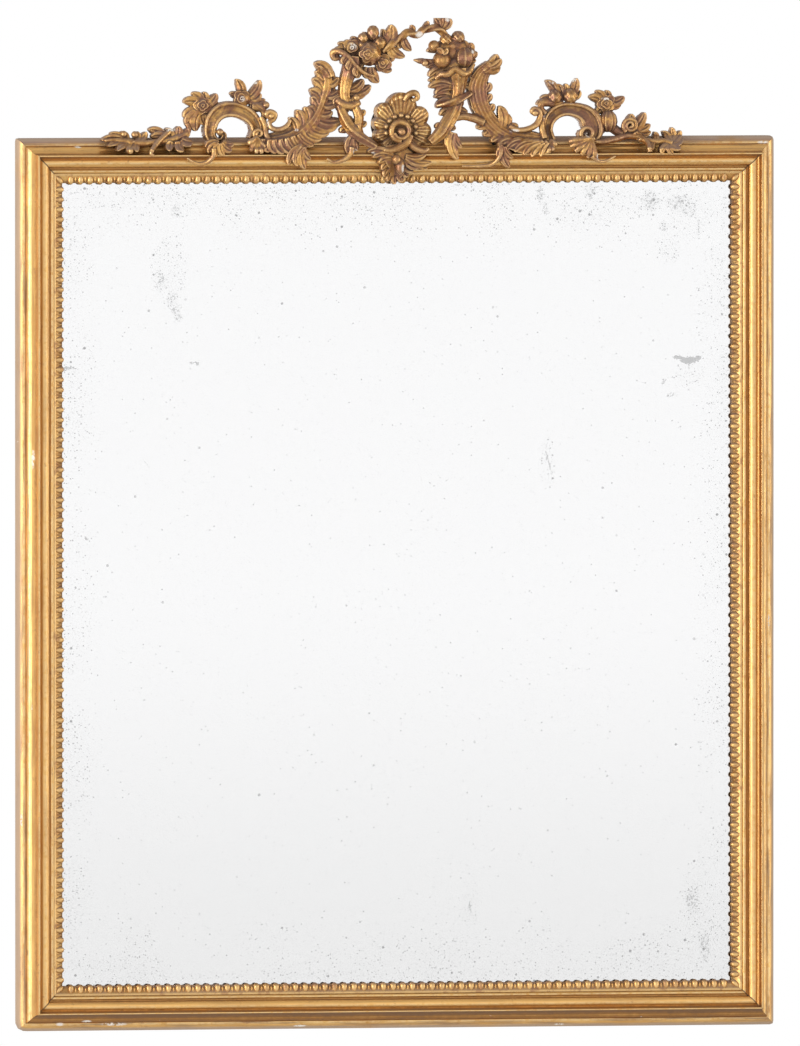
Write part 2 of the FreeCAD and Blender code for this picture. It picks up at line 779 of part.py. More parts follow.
brace_x = S.brace_spread / 2
braces = {}
brace_screw_spots = {}
for name, sign in (("left", -1), ("right", 1)):
    low = sign * brace_x - S.brace_width / 2
    tall = S.brace_tail + S.brace_rise
    braces[name] = box(f"{name}_slat", S.brace_width, S.brace_thickness, tall,
                       low, -S.brace_thickness, frame_top - S.brace_tail)
    levels = (frame_top - S.brace_tail + S.screw_edge, frame_top - S.screw_edge,
              frame_top + S.brace_rise - S.screw_edge)
    brace_screw_spots[name] = [(sign * brace_x, level) for level in levels]

hanger_low = frame_top - S.hanger_drop - S.hanger_height
hanger_screw_x = S.hanger_width / 2 - S.hanger_screw_edge
hanger_screw_z = frame_top - S.hanger_drop - S.hanger_height + S.hanger_screw_drop
hanger_screw_spots = [(-hanger_screw_x, hanger_screw_z), (hanger_screw_x, hanger_screw_z)]
hanger_back = -S.hanger_thickness

nails, rail_holes, board_holes = [], {name: [] for name in SIDES}, []
for name, spots in nail_spots().items():
    for number, (x, z) in enumerate(spots):
        nails.append(nail(f"{name}_nail_{number}", x, z))
        hole = nail_hole(f"{name}_nail_hole_{number}", x, z)
        rail_holes[name].append(hole)
        board_holes.append(hole)

brace_holes = {}
brace_screws = []
for name, spots in brace_screw_spots.items():
    brace_holes[name] = []
    for number, (x, z) in enumerate(spots):
        brace_screws.append(screw(f"{name}_screw_{number}", x, 0, z, 0))
        brace_holes[name].append(screw(f"{name}_screw_hole_{number}", x, 0, z, S.fastener_clearance))
hanger_screws, hanger_holes = [], []
for number, (x, z) in enumerate(hanger_screw_spots):
    hanger_screws.append(screw(f"hanger_screw_{number}", x, hanger_back, z, 0))
    hanger_holes.append(screw(f"hanger_screw_hole_{number}", x, hanger_back, z, S.fastener_clearance))

top_tools = list(braces.values()) + hanger_holes + brace_holes["left"] + brace_holes["right"]
for name, moulding in mouldings.items():
    tools = keys + rail_holes[name] + (top_tools if name == "top" else [])
    suffix = "rail" if name in ("top", "bottom") else "stile"
    as_node(cut(f"{name}_finished", moulding, tools), f"{name}_{suffix}")
top_rail = nodes[-4]

for name, slat in braces.items():
    as_node(cut(f"{name}_brace_finished", slat, brace_holes[name]), f"{name}_brace")
as_node(gather("brace_screw_set", brace_screws), "brace_screws")

plate_edge = inset.plate + S.plate_clearance
plate_width = S.frame_width - 2 * plate_edge
plate_height = S.frame_height - 2 * plate_edge
as_node(box("glass", plate_width, S.plate_thickness, plate_height,
            -plate_width / 2, -height.plate, -plate_height / 2), "mirror_plate")
as_node(box("foil", plate_width, S.silvering_thickness, plate_height,
            -plate_width / 2, -height.silvering, -plate_height / 2), "silvering")

blocks = []
for share in SIDE_BLOCK_SHARES:
    for sign in (-1, 1):
        along_x = S.frame_width * share - S.block_length / 2
        along_z = S.frame_height * share - S.block_length / 2
        low_x = sign * (frame_side - inset.plate) - (S.block_width if sign > 0 else 0)
        low_z = sign * (frame_top - inset.plate) - (S.block_width if sign > 0 else 0)
        blocks.append(box(f"side_block_{len(blocks)}", S.block_width, S.block_thickness, S.block_length,
                          low_x, -height.block, along_z))
        blocks.append(box(f"edge_block_{len(blocks)}", S.block_length, S.block_thickness, S.block_width,
                          along_x, -height.block, low_z))
as_node(gather("blocks", blocks), "glazing_blocks")

board_width = S.frame_width - 2 * (inset.board + S.board_clearance)
for name, (low, high) in zip(("lower", "middle", "upper"), board_levels()):
    plain = box(f"{name}_board", board_width, S.board_thickness, high - low,
                -board_width / 2, -S.board_thickness, low)
    as_node(cut(f"{name}_board_finished", plain, board_holes), f"{name}_backboard")
as_node(gather("nail_set", nails), "backboard_nails")

eye_z = frame_top - S.eye_drop
hanger_leaf = box("hanger_leaf", S.hanger_width, S.hanger_thickness, S.hanger_height,
                  -S.hanger_width / 2, 0, hanger_low)
ALONG_X = FreeCAD.Rotation(V(0, 1, 0), 90)
barrel = doc.addObject("Part::Cylinder", "hanger_barrel")
bind(barrel, "Radius", S.eye_radius)
bind(barrel, "Height", S.eye_length)
place(barrel, -S.eye_length / 2, S.eye_stand, eye_z, ALONG_X)
eye_bore = doc.addObject("Part::Cylinder", "hanger_eye_bore")
bind(eye_bore, "Radius", S.ring_bar_radius + S.ring_clearance)
bind(eye_bore, "Height", S.eye_length + 2 * S.overrun)
place(eye_bore, -S.eye_length / 2 - S.overrun, S.eye_stand, eye_z, ALONG_X)
wall_trim = box("hanger_wall_trim", S.hanger_width, S.eye_radius, S.hanger_height,
                -S.hanger_width / 2, -S.eye_radius, hanger_low)
hanger = fuse("hanger_forging", [hanger_leaf, barrel])
as_node(cut("hanger_finished", hanger, [eye_bore, wall_trim] + hanger_holes), "hanger_plate")
as_node(gather("hanger_screw_set", hanger_screws), "hanger_screws")

lean_sine = math.sin(math.radians(RING_LEAN))
lean_cosine = math.cos(math.radians(RING_LEAN))
ring = doc.addObject("Part::Torus", "ring")
bind(ring, "Radius1", S.ring_radius)
bind(ring, "Radius2", S.ring_bar_radius)
place(ring, 0, S.eye_stand - S.ring_radius * lean_sine, eye_z + S.ring_radius * lean_cosine,
      FreeCAD.Rotation(V(1, 0, 0), RING_LEAN - 90))
as_node(ring, "hanging_ring")

doc.recompute()

# Build: carved crest, each piece cut to fit what it sits on

top_slip = slips["top"]
left_wing = wing("left_wing", LEFT_WING_PX, [top_rail] + brace_holes["left"])
right_wing = wing("right_wing", RIGHT_WING_PX, [top_rail] + brace_holes["right"])
shell_plate = fretted(SHELL_PX, S.shell_back.value, S.shell_front.value)
shell = carve("crest_shell", [shell_plate], [top_rail])
shell_boss(S.shell_front)
left_horn = horn("left_cornucopia", LEFT_HORN_PX, [top_rail, shell, left_wing])
right_horn = horn("right_cornucopia", RIGHT_HORN_PX, [top_rail, shell, right_wing])
pendant_blank = applied(PENDANT_PX, S.shell_back.value, S.shell_front.value, S.pendant_skin.value)
pendant = carve("shell_pendant", [pendant_blank], [top_rail, top_slip, shell, left_horn, right_horn])

bouquet_level, bouquet_thickness = S.bouquet_height.value, S.bouquet_leaf_thickness.value
bouquet = cluster("rose_bouquet", LEFT_BOUQUET_BALLS_PX, LEFT_BOUQUET_LEAF_PX, bouquet_level,
                  bouquet_thickness, [left_horn, left_wing])
fruit = cluster("fruit_cluster", RIGHT_BOUQUET_BALLS_PX, RIGHT_BOUQUET_LEAF_PX, bouquet_level,
                bouquet_thickness, [right_horn, right_wing])
garland_half = S.garland_thickness.value / 2
garland_board = fretted(GARLAND_PX, S.garland_height.value - garland_half,
                        S.garland_height.value + garland_half)
carve("garland", [garland_board], [bouquet, fruit])

spray_heights = (S.brace_thickness.value, S.spray_front.value, S.carving_skin.value)
left_spray = carve("left_spray", [applied(LEFT_SPRAY_PX, *spray_heights)], [top_rail, left_wing])
right_spray = carve("right_spray", [applied(RIGHT_SPRAY_PX, *spray_heights)], [top_rail, right_wing])
flower_heights = (S.flower_height.value, S.flower_leaf_thickness.value)
cluster("left_outer_flower", LEFT_FLOWER_BALLS_PX, LEFT_FLOWER_LEAF_PX, *flower_heights,
        [top_rail, left_wing, left_spray])
cluster("left_inner_flower", LEFT_BUD_BALLS_PX, LEFT_BUD_LEAF_PX, *flower_heights, [left_wing])
cluster("right_outer_flower", RIGHT_FLOWER_BALLS_PX, RIGHT_FLOWER_LEAF_PX, *flower_heights,
        [top_rail, right_wing, right_spray])
cluster("right_inner_flower", RIGHT_BUD_BALLS_PX, RIGHT_BUD_LEAF_PX, *flower_heights, [right_wing])
for label, outline, neighbours in (
        ("left_tendril", LEFT_TENDRIL_PX, [left_wing]),
        ("left_hook_leaf", LEFT_HOOK_PX, [left_wing, left_spray]),
        ("right_tendril", RIGHT_TENDRIL_PX, [right_wing]),
        ("right_hook_leaf", RIGHT_HOOK_PX, [right_wing, right_spray])):
    carve(label, [applied(outline, *spray_heights)], [top_rail, top_slip] + neighbours)

doc.recompute()

# Check every object, then write the nodes

for thing in doc.Objects:
    if "Invalid" in thing.State or "Error" in thing.State:
        raise RuntimeError(f"{thing.Name} failed: {thing.State}")
for thing in nodes:
    if thing.Shape.isNull() or not thing.Shape.isValid() or not thing.Shape.Solids:
        raise RuntimeError(f"{thing.Label} has no valid solid")
for name, moulding in mouldings.items():
    if moulding.Tip.Shape.Volume >= moulding.Group[1].Shape.Volume:
        raise RuntimeError(f"the mitres of the {name} side removed nothing")

os.makedirs("parts", exist_ok=True)
for thing in nodes:
    thing.Shape.exportStep(f"parts/{thing.Label}.step")
    print(f"{thing.Label}: {len(thing.Shape.Solids)} solids, {thing.Shape.Volume:.0f} mm3")
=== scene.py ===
"""Looks of the carved and gilded wall mirror.

Metres, in the frame of the solids: +Z up, the front towards -Y, the wall plane at Y = 0.
Carving is placed by photograph pixels (px, py) and by a level, which is the height above
the wall plane in millimetres. Insets run from the outer edge of the frame to its middle.
"""
import math

import bmesh
import bpy
import numpy as np
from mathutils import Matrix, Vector, noise


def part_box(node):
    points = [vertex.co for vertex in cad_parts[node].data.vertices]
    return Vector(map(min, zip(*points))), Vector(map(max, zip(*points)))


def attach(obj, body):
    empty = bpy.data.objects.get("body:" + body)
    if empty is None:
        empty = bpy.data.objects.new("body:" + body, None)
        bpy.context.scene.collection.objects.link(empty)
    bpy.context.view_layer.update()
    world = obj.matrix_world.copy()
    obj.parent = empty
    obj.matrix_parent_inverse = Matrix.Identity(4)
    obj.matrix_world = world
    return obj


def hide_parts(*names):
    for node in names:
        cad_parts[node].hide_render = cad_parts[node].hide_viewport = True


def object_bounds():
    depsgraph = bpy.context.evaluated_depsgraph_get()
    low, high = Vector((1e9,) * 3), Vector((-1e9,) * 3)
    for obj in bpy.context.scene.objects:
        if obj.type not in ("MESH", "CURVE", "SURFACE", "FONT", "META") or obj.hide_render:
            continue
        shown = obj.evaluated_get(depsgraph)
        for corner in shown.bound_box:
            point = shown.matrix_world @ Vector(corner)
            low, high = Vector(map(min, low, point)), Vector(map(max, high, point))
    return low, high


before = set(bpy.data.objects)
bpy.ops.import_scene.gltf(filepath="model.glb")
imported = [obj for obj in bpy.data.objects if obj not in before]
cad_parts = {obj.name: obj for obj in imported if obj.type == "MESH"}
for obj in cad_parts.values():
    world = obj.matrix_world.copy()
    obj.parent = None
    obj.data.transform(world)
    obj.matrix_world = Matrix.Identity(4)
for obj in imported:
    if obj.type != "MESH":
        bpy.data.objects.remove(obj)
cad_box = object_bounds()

MM = 0.001
TURN = 2 * math.pi
BACK = Vector((0, 1, 0))

# View of the photograph, and where the crest lies in its pixels.
VIEW_YAW = math.radians(12.5)
VIEW_PITCH = math.radians(1.6)
VIEW_DISTANCE = 42
VIEW_TARGET = Vector((0.0019, -0.02, 0.067))
IMAGE_HEIGHT = 1.1725
SENSOR = 36
FRAME_CENTRE_PX = 394.5
RAIL_TOP_PX = 135.7
RAIL_TOP_TILT = -0.0072
CREST_WIDTH, CREST_WIDTH_PX = 663, 578
ACROSS_MM = CREST_WIDTH / CREST_WIDTH_PX
UP_MM = ACROSS_MM * math.cos(VIEW_YAW)

half_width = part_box("right_stile")[1].x / MM
half_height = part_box("right_stile")[1].z / MM

# Half length of each side of the frame, and the place of a spot on it.
SIDES = {
    "top": (half_width, lambda run, inset, high: Vector((run, -high, half_height - inset)) * MM),
    "bottom": (half_width, lambda run, inset, high: Vector((-run, -high, inset - half_height)) * MM),
    "left": (half_height, lambda run, inset, high: Vector((inset - half_width, -high, run)) * MM),
    "right": (half_height, lambda run, inset, high: Vector((half_width - inset, -high, -run)) * MM),
}

# Tones of the gilding. The shade and warm tones are painted shade, the lit tone is painted highlight,
# the worn tones are rubbed leaf painted pale as a highlight, and soil also serves as painted shade.
GOLD_LEAF = (0.84, 0.51, 0.175)
GOLD_DEEP = (0.6, 0.315, 0.095)
GOLD_SHADE = (0.42, 0.2, 0.06)
GOLD_WORN_HIGHLIGHT = (0.9, 0.68, 0.37)
GOLD_WARM_SHADE = (0.86, 0.48, 0.14)
GOLD_LIT = (1, 0.58, 0.195)
BEAD_WORN_HIGHLIGHT = (0.85, 0.58, 0.27)
CARVED_LEAF = (0.74, 0.42, 0.132)
CARVED_DEEP = (0.34, 0.155, 0.05)
CARVED_WORN_HIGHLIGHT = (0.86, 0.55, 0.25)
COPPER = (0.25, 0.118, 0.078)
SHELL_LEAF = (0.78, 0.47, 0.165)
SHELL_DEEP = (0.56, 0.29, 0.09)
SHELL_WORN_HIGHLIGHT = (0.92, 0.64, 0.31)
BOLE = (0.34, 0.13, 0.055)
GESSO = (0.84, 0.78, 0.7)
SOIL_AND_SHADE = (0.075, 0.04, 0.025)
DUST = (0.25, 0.165, 0.14)
GRIME = (0.34, 0.205, 0.115)
FLANK = (0.44, 0.32, 0.23)
BACK_LIGHT, BACK_DARK = (0.36, 0.22, 0.115), (0.1, 0.055, 0.028)
RAIL_GLOSS = 0.27
CARVED_GLOSS = 0.26

# Tones of wood, iron, glass, silvering and stage
BOARD_LIGHT, BOARD_DARK = (0.36, 0.23, 0.13), (0.17, 0.1, 0.055)
SLAT_LIGHT, SLAT_DARK = (0.3, 0.19, 0.11), (0.13, 0.08, 0.045)
# The darkest wood tone is painted shade in the hollows of the wood.
WOOD_STAIN, WOOD_SHADE = (0.06, 0.04, 0.028), (0.03, 0.02, 0.015)
IRON, RUST = (0.028, 0.026, 0.026), (0.11, 0.045, 0.02)
GLASS_CLEAR = (0.995, 0.995, 0.995)
GLASS_INDEX = 1.45
# The foil's foot tone is painted shade, greying the plate towards its foot.
FOIL_BRIGHT, FOIL_FOOT_SHADE = (0.968, 0.968, 0.972), (0.84, 0.84, 0.84)
FOIL_VEIL, FOIL_BARE = (0.55, 0.57, 0.58), (0.13, 0.13, 0.135)
FLOOR_TONES = (0.86, 0.86, 0.86), (0.9, 0.9, 0.9)
WHITE = (1, 1, 1)

# Reach of the search for hollows, and depth of the surface relief, in metres.
CARVED_HOLLOW, WOOD_HOLLOW = 0.012, 0.01
GILT_RELIEF, WOOD_RELIEF, IRON_RELIEF = 0.0004, 0.0008, 0.0006
HOLLOW_SAMPLES = 6


# Node materials

class Value:
    """An output of a node, which can be reckoned with like a number."""

    def __init__(self, nodes, socket):
        self.nodes = nodes
        self.socket = socket

    def reckon(self, operation, other=0.0):
        return self.nodes.value("ShaderNodeMath", 0, (self, other), operation=operation)

    def __add__(self, other):
        return self.reckon("ADD", other)

    def __sub__(self, other):
        return self.reckon("SUBTRACT", other)

    def __mul__(self, other):
        return self.reckon("MULTIPLY", other)

    def __abs__(self):
        return self.reckon("ABSOLUTE")

    def most(self, *others):
        found = self
        for other in others:
            found = found.reckon("MAXIMUM", other)
        return found

    def ramp(self, low, high, start=0.0, end=1.0):
        """A smooth step from a start to an end while this goes from low to high."""
        inputs = (self, low, high, start, end)
        return self.nodes.value("ShaderNodeMapRange", 0, inputs, interpolation_type="SMOOTHSTEP")

    def zone(self, enter, full, leave, fade):
        """1 between two bounds: it comes in from enter to full and goes out from fade to leave."""
        return self.ramp(enter, full) * self.ramp(leave, fade)

    def split(self):
        made = self.nodes.node("ShaderNodeSeparateXYZ", (self,))
        return [Value(self.nodes, socket) for socket in made.outputs]


class Nodes:
    """A tree of shader nodes under construction."""

    def __init__(self, tree):
        self.tree = tree
        tree.nodes.clear()

    def node(self, kind, inputs=(), **settings):
        """A node with its settings, and its inputs fed in their order or by their keys."""
        made = self.tree.nodes.new(kind)
        for key, value in settings.items():
            setattr(made, key, value)
        for key, value in inputs.items() if isinstance(inputs, dict) else enumerate(inputs):
            self.feed(made.inputs[key], value)
        return made

    def value(self, kind, output, inputs=(), **settings):
        return Value(self, self.node(kind, inputs, **settings).outputs[output])

    def feed(self, socket, value):
        if isinstance(value, Value):
            self.tree.links.new(value.socket, socket)
        elif isinstance(value, tuple) and socket.type == "RGBA":
            socket.default_value = (*value, 1)
        else:
            socket.default_value = value


class Shader(Nodes):
    """A node material under construction."""

    def __init__(self, name):
        self.material = bpy.data.materials.new(name)
        self.material.use_nodes = True
        super().__init__(self.material.node_tree)
        self.surface = self.node("ShaderNodeBsdfPrincipled")
        self.node("ShaderNodeOutputMaterial", (Value(self, self.surface.outputs[0]),))
        self.place = self.value("ShaderNodeTexCoord", "Object")

    def set(self, name, value):
        self.feed(self.surface.inputs[name], value)

    def attribute(self, name):
        return self.value("ShaderNodeAttribute", "Fac", attribute_name=name)

    def normal(self):
        return self.value("ShaderNodeNewGeometry", "Normal").split()

    def mix(self, factor, first, second):
        return self.value("ShaderNodeMix", 2, {0: factor, 6: first, 7: second}, data_type="RGBA")

    def vector(self, *parts):
        return self.value("ShaderNodeCombineXYZ", 0, parts)

    def scaled(self, factors):
        return self.value("ShaderNodeVectorMath", 0, (self.place, factors), operation="MULTIPLY")

    def noise(self, scale, detail=4, rough=0.55, vector=None, warp=0.0):
        inputs = {"Vector": vector or self.place, "Scale": scale, "Detail": detail, "Roughness": rough,
                  "Distortion": warp}
        return self.value("ShaderNodeTexNoise", "Fac", inputs)

    def cells(self, scale):
        """Distance to the nearest of many strewn points, and three chance numbers for each of them."""
        made = self.node("ShaderNodeTexVoronoi", {"Vector": self.place, "Scale": scale})
        return Value(self, made.outputs["Distance"]), Value(self, made.outputs["Color"]).split()

    def hollows(self, distance):
        """How open a spot is: 1 in the open, 0 deep in a hollow."""
        reach = {"Distance": distance}
        return self.value("ShaderNodeAmbientOcclusion", "AO", reach, samples=HOLLOW_SAMPLES)

    def bump(self, height, distance, strength):
        inputs = {"Strength": strength, "Distance": distance, "Height": height}
        self.set("Normal", self.value("ShaderNodeBump", 0, inputs))


def patch(shader, middle, wide, tall, lean=0.0, shift=0.0):
    """1 in the middle of a patch on the X and Z axes, falling to 0 at its rim; sizes in millimetres."""
    x, y, z = shader.place.split()
    off_x, off_z = x + shift - middle.x, z - shift - middle.z
    across = (off_x * math.cos(lean) + off_z * math.sin(lean)) * (1 / (wide * MM))
    along = (off_z * math.cos(lean) - off_x * math.sin(lean)) * (1 / (tall * MM))
    return (across * across + along * along).ramp(1.0, 0.0)


def patches(shader, rows, level, shift=0.0):
    """The strongest of several patches, each by its pixel place and its half sizes in pixels."""
    marks = []
    for px, py, wide, tall, *lean in rows:
        marks.append(patch(shader, spot(px, py, level), wide * ACROSS_MM, tall * UP_MM, *lean, shift=shift))
    return marks[0].most(*marks[1:])


# Places where the leaf has chipped off the gesso: pixel place and half sizes in pixels.
RAIL_CHIPS = [
    (32, 459, 1.6, 13), (60, 1024, 5, 2.2), (114, 1024, 16, 2.2), (764, 140, 7, 1.8), (78, 147, 5, 1.4),
    (86, 1021, 6, 1.6), (300, 1026, 9, 1.2), (560, 1025, 6, 1.2), (770, 620, 1.2, 9), (22, 820, 1.2, 8),
]
CREST_CHIPS = [
    (243, 98, 3.4, 3.6), (267, 123, 1.8, 4), (172, 129.5, 9, 2), (232, 149, 2.6, 3), (353, 151, 3.6, 4),
    (351, 45, 5, 4.4), (418, 33, 5, 4), (400, 167, 2.4, 5), (458, 156, 2.6, 3), (471, 50, 2, 2.6),
    (514, 129, 6, 2.2), (447, 18, 3, 3), (576, 78, 3.4, 3), (597, 154, 3, 5), (587, 132, 3.4, 4.4),
    (553, 81, 4, 2), (607, 97, 5, 2), (258, 82, 2, 2), (296, 129, 2.6, 2), (371, 152, 3, 2),
]
RAIL_CHIP_LEVEL, CREST_CHIP_LEVEL = 14, 30

# Where a tone of the moulding comes in and goes out: insets and distances from a mitre in millimetres.
REED_ZONE = (9, 10.4, 18.5, 15)
ROLL_ZONE = (22.5, 25, 33.4, 32)
COVE_ZONE = (8, 11, 21.5, 18.5)
GRIME_INSETS = (18, 9)
LEDGE_INSETS = (9.6, 7)
FLANK_INSETS = (5.6, 2)
SPECK_INSETS = (37, 33)
CRACK_INSETS = (19, 26)
CRACK_REACH = (1.3, 0.4)


def gilt_finish(shader, colour, dirt_and_shade, bare, flaked, streaks, grain, gloss):
    """Gloss and relief of old gilding: leaf shines, but not soiled spots, painted shade, bole, gesso or the
    bare back.
    """
    back = shader.normal()[1].ramp(0.5, 0.8)
    shader.set("Base Color", shader.mix(back, colour, shader.mix(streaks, BACK_DARK, BACK_LIGHT)))
    dull = (dirt_and_shade * 0.85).most(flaked, back)
    shader.set("Metallic", dull.most(bare * 0.5).ramp(0.0, 1.0, 0.88, 0.05))
    shader.set("Roughness", streaks * 0.2 + dull * 0.3 + gloss)
    shader.bump(grain * 0.7 + shader.noise(650, 3, 0.6) * 0.8 - flaked, GILT_RELIEF, 0.6)
    return shader.material


def moulding_gilding(name):
    """Water gilding on the mouldings: worn crowns with a pale painted highlight, painted orange shade in
    the soiled hollows, and more painted shade on faces turned up or down.
    """
    shader = Shader(name)
    run, inset, mitre = (shader.attribute(key) for key in ("run", "inset", "mitre"))
    streaks = shader.noise(1, 5, 0.62, shader.vector(run * 0.02, inset * 0.55, 0.0))
    cloud, grain = shader.noise(14, 5, 0.6), shader.noise(160, 5, 0.65)
    facing = shader.normal()[2]
    slant = abs(facing)
    colour = shader.mix((cloud * 0.5 + streaks * 0.5).ramp(0.36, 0.6), GOLD_DEEP, GOLD_LEAF)
    # Painted highlight: worn crowns made pale, most on faces that are not turned up or down.
    rubbed_and_highlight = shader.attribute("proud") * grain.ramp(0.32, 0.58) * slant.ramp(0.15, 0.6, 1.0, 0.4)
    colour = shader.mix(rubbed_and_highlight * 0.75, colour, GOLD_WORN_HIGHLIGHT)
    # Painted shade: warmer gold on faces turned up or down.
    colour = shader.mix(slant.ramp(0.1, 0.6, 0.0, 0.5), colour, GOLD_WARM_SHADE)
    lit = facing.ramp(-0.12, 0.22) * inset.zone(*REED_ZONE).most(inset.zone(*ROLL_ZONE))
    colour = shader.mix(lit * 0.85, colour, GOLD_LIT)
    stains = shader.noise(1, 6, 0.66, shader.vector(run * 0.013, inset * 0.3, 5.0))
    grime = stains.ramp(0.44, 0.66) * inset.ramp(*GRIME_INSETS, 0.3, 0.85)
    colour = shader.mix(grime, colour, GRIME)
    # Soil table plus painted shade: more on faces turned up or down and on downward cove faces, less under
    # the lit tone.
    ground = shader.attribute("dirt_and_shade") + (grain - 0.5) * 0.6 + (cloud - 0.5) * 0.7
    shaded = facing.ramp(-0.1, -0.6) * inset.zone(*COVE_ZONE)
    ground = ground * slant.ramp(0.1, 0.8, 0.62, 1.0) + (shaded * 0.55 - lit * 0.4)
    colour = shader.mix(ground.ramp(0.12, 0.5), colour, GOLD_SHADE)
    bare = shader.noise(95, 6, 0.68).ramp(0.57, 0.67) * streaks.ramp(0.42, 0.62)
    colour = shader.mix(bare * 0.6, colour, BOLE)
    # Soil and painted shade, both from the same mask.
    soiled_and_shaded = ground.ramp(0.42, 0.9)
    colour = shader.mix(soiled_and_shaded * 0.6, colour, SOIL_AND_SHADE)
    crack = mitre.ramp(*CRACK_REACH) * inset.ramp(*CRACK_INSETS) * cloud.ramp(0.32, 0.46)
    colour = shader.mix(crack * 0.85, colour, SOIL_AND_SHADE)
    dust = facing.ramp(0.1, 0.5) * inset.ramp(*LEDGE_INSETS) * cloud.ramp(0.26, 0.52, 0.45, 1.0)
    colour = shader.mix(dust * 0.85, colour, DUST)
    flank = inset.ramp(*FLANK_INSETS) * cloud.ramp(0.25, 0.5, 0.5, 0.85)
    colour = shader.mix(flank, colour, FLANK)
    chips = patches(shader, RAIL_CHIPS, RAIL_CHIP_LEVEL) * shader.noise(230, 4, 0.65).ramp(0.44, 0.5)
    specks = shader.noise(75, 5, 0.62, warp=0.6).ramp(0.725, 0.745) * inset.ramp(*SPECK_INSETS)
    flaked = chips.most(specks)
    colour = shader.mix(flaked, colour, GESSO)
    dirt_and_shade = soiled_and_shaded.most(dust, flank, crack, grime * 0.5)
    return gilt_finish(shader, colour, dirt_and_shade, bare, flaked, streaks, grain, RAIL_GLOSS)


def carved_gilding(name, tones, filth_and_shade, chipped=True):
    """Oil gilding on the carving: worn gold painted pale as a highlight where it stands proud, copper brown
    elsewhere, soiled and darkened with painted shade in gouges.
    """
    leaf_tone, deep_tone, copper_tone, worn_highlight_tone = tones
    shader = Shader(name)
    cloud, grain = shader.noise(16, 5, 0.62, warp=0.5), shader.noise(190, 5, 0.65)
    streaks = shader.noise(60, 4, 0.6, warp=1.0)
    colour = shader.mix((cloud * 0.6 + streaks * 0.4).ramp(0.38, 0.6), deep_tone, leaf_tone)
    copper = shader.noise(28, 5, 0.66, warp=0.8).ramp(0.46, 0.58)
    colour = shader.mix(copper * 0.92, colour, copper_tone)
    ground = shader.attribute("relief") + (grain - 0.5) * 0.22
    # Painted highlight: worn leaf made pale where the carving stands proud.
    rubbed_and_highlight = ground.ramp(0.03, 0.28)
    colour = shader.mix(rubbed_and_highlight * 0.7, colour, worn_highlight_tone)
    bare = shader.noise(110, 6, 0.68).ramp(0.5, 0.62) * streaks.ramp(0.36, 0.56)
    colour = shader.mix(bare * 0.6, colour, BOLE)
    # Soil and painted shade: darker in concave spots and deep in hollows.
    soiled_and_shaded = ground.ramp(0.0, -0.26).most(shader.hollows(CARVED_HOLLOW).ramp(0.82, 0.34))
    colour = shader.mix(soiled_and_shaded * filth_and_shade, colour, SOIL_AND_SHADE)
    dust = shader.normal()[2].ramp(0.1, 0.85) * cloud.ramp(0.3, 0.55)
    colour = shader.mix(dust * 0.75, colour, DUST)
    flaked = 0.0
    if chipped:
        chips = patches(shader, CREST_CHIPS, CREST_CHIP_LEVEL) * shader.noise(210, 4, 0.65).ramp(0.4, 0.47)
        specks = shader.noise(90, 5, 0.6, warp=0.6).ramp(0.7, 0.72) * rubbed_and_highlight
        flaked = chips.most(specks) * soiled_and_shaded.ramp(0.6, 0.2)
        colour = shader.mix(flaked, colour, GESSO)
    dirt_and_shade = soiled_and_shaded.most(dust * 0.8)
    return gilt_finish(shader, colour, dirt_and_shade, bare, flaked, streaks, grain, CARVED_GLOSS)


# Closeness of wood fibres along and across the grain, and of year rings as a share of it.
FIBRE_ALONG, FIBRE_ACROSS = 7.0, 210.0
RING_SHARE = 0.05


def old_wood(name, light, dark, grain_axis):
    """Bare softwood gone brown, with its grain along one axis."""
    shader = Shader(name)
    stretch = tuple(FIBRE_ALONG if letter == grain_axis else FIBRE_ACROSS for letter in "xyz")
    fibres = shader.noise(1, 7, 0.62, shader.scaled(stretch), 1.4)
    bands = {"Vector": shader.scaled(tuple(RING_SHARE * part for part in stretch)), "Scale": 5,
             "Distortion": 7, "Detail": 3}
    rings = shader.value("ShaderNodeTexWave", "Fac", bands, wave_type="BANDS", bands_direction="DIAGONAL")
    colour = shader.mix((fibres * 0.8 + rings * 0.2).ramp(0.25, 0.75), dark, light)
    colour = shader.mix(shader.noise(7, 4, 0.6).ramp(0.5, 0.72) * 0.45, colour, WOOD_STAIN)
    # Painted shade: darker deep in the hollows of the wood.
    colour = shader.mix(shader.hollows(WOOD_HOLLOW).ramp(0.85, 0.4), colour, WOOD_SHADE)
    shader.set("Base Color", colour)
    shader.set("Roughness", fibres.ramp(0.3, 0.7, 0.72, 0.9))
    shader.bump(fibres, WOOD_RELIEF, 0.6)
    return shader.material


def forged_iron(name):
    """Dark hammered iron with rust bloom."""
    shader = Shader(name)
    bloom = shader.noise(120, 6, 0.65).ramp(0.5, 0.68)
    hammered, chances = shader.cells(260)
    shader.set("Base Color", shader.mix(bloom, IRON, RUST))
    shader.set("Metallic", bloom.ramp(0.0, 1.0, 0.85, 0.1))
    shader.set("Roughness", bloom.ramp(0.0, 1.0, 0.42, 0.85))
    shader.bump(hammered + shader.noise(900, 3), IRON_RELIEF, 0.5)
    return shader.material


def plate_glass(name):
    """Clear old plate."""
    shader = Shader(name)
    shader.set("Base Color", GLASS_CLEAR)
    shader.set("Transmission Weight", 1.0)
    shader.set("IOR", GLASS_INDEX)
    shader.set("Roughness", 0.0)
    return shader.material


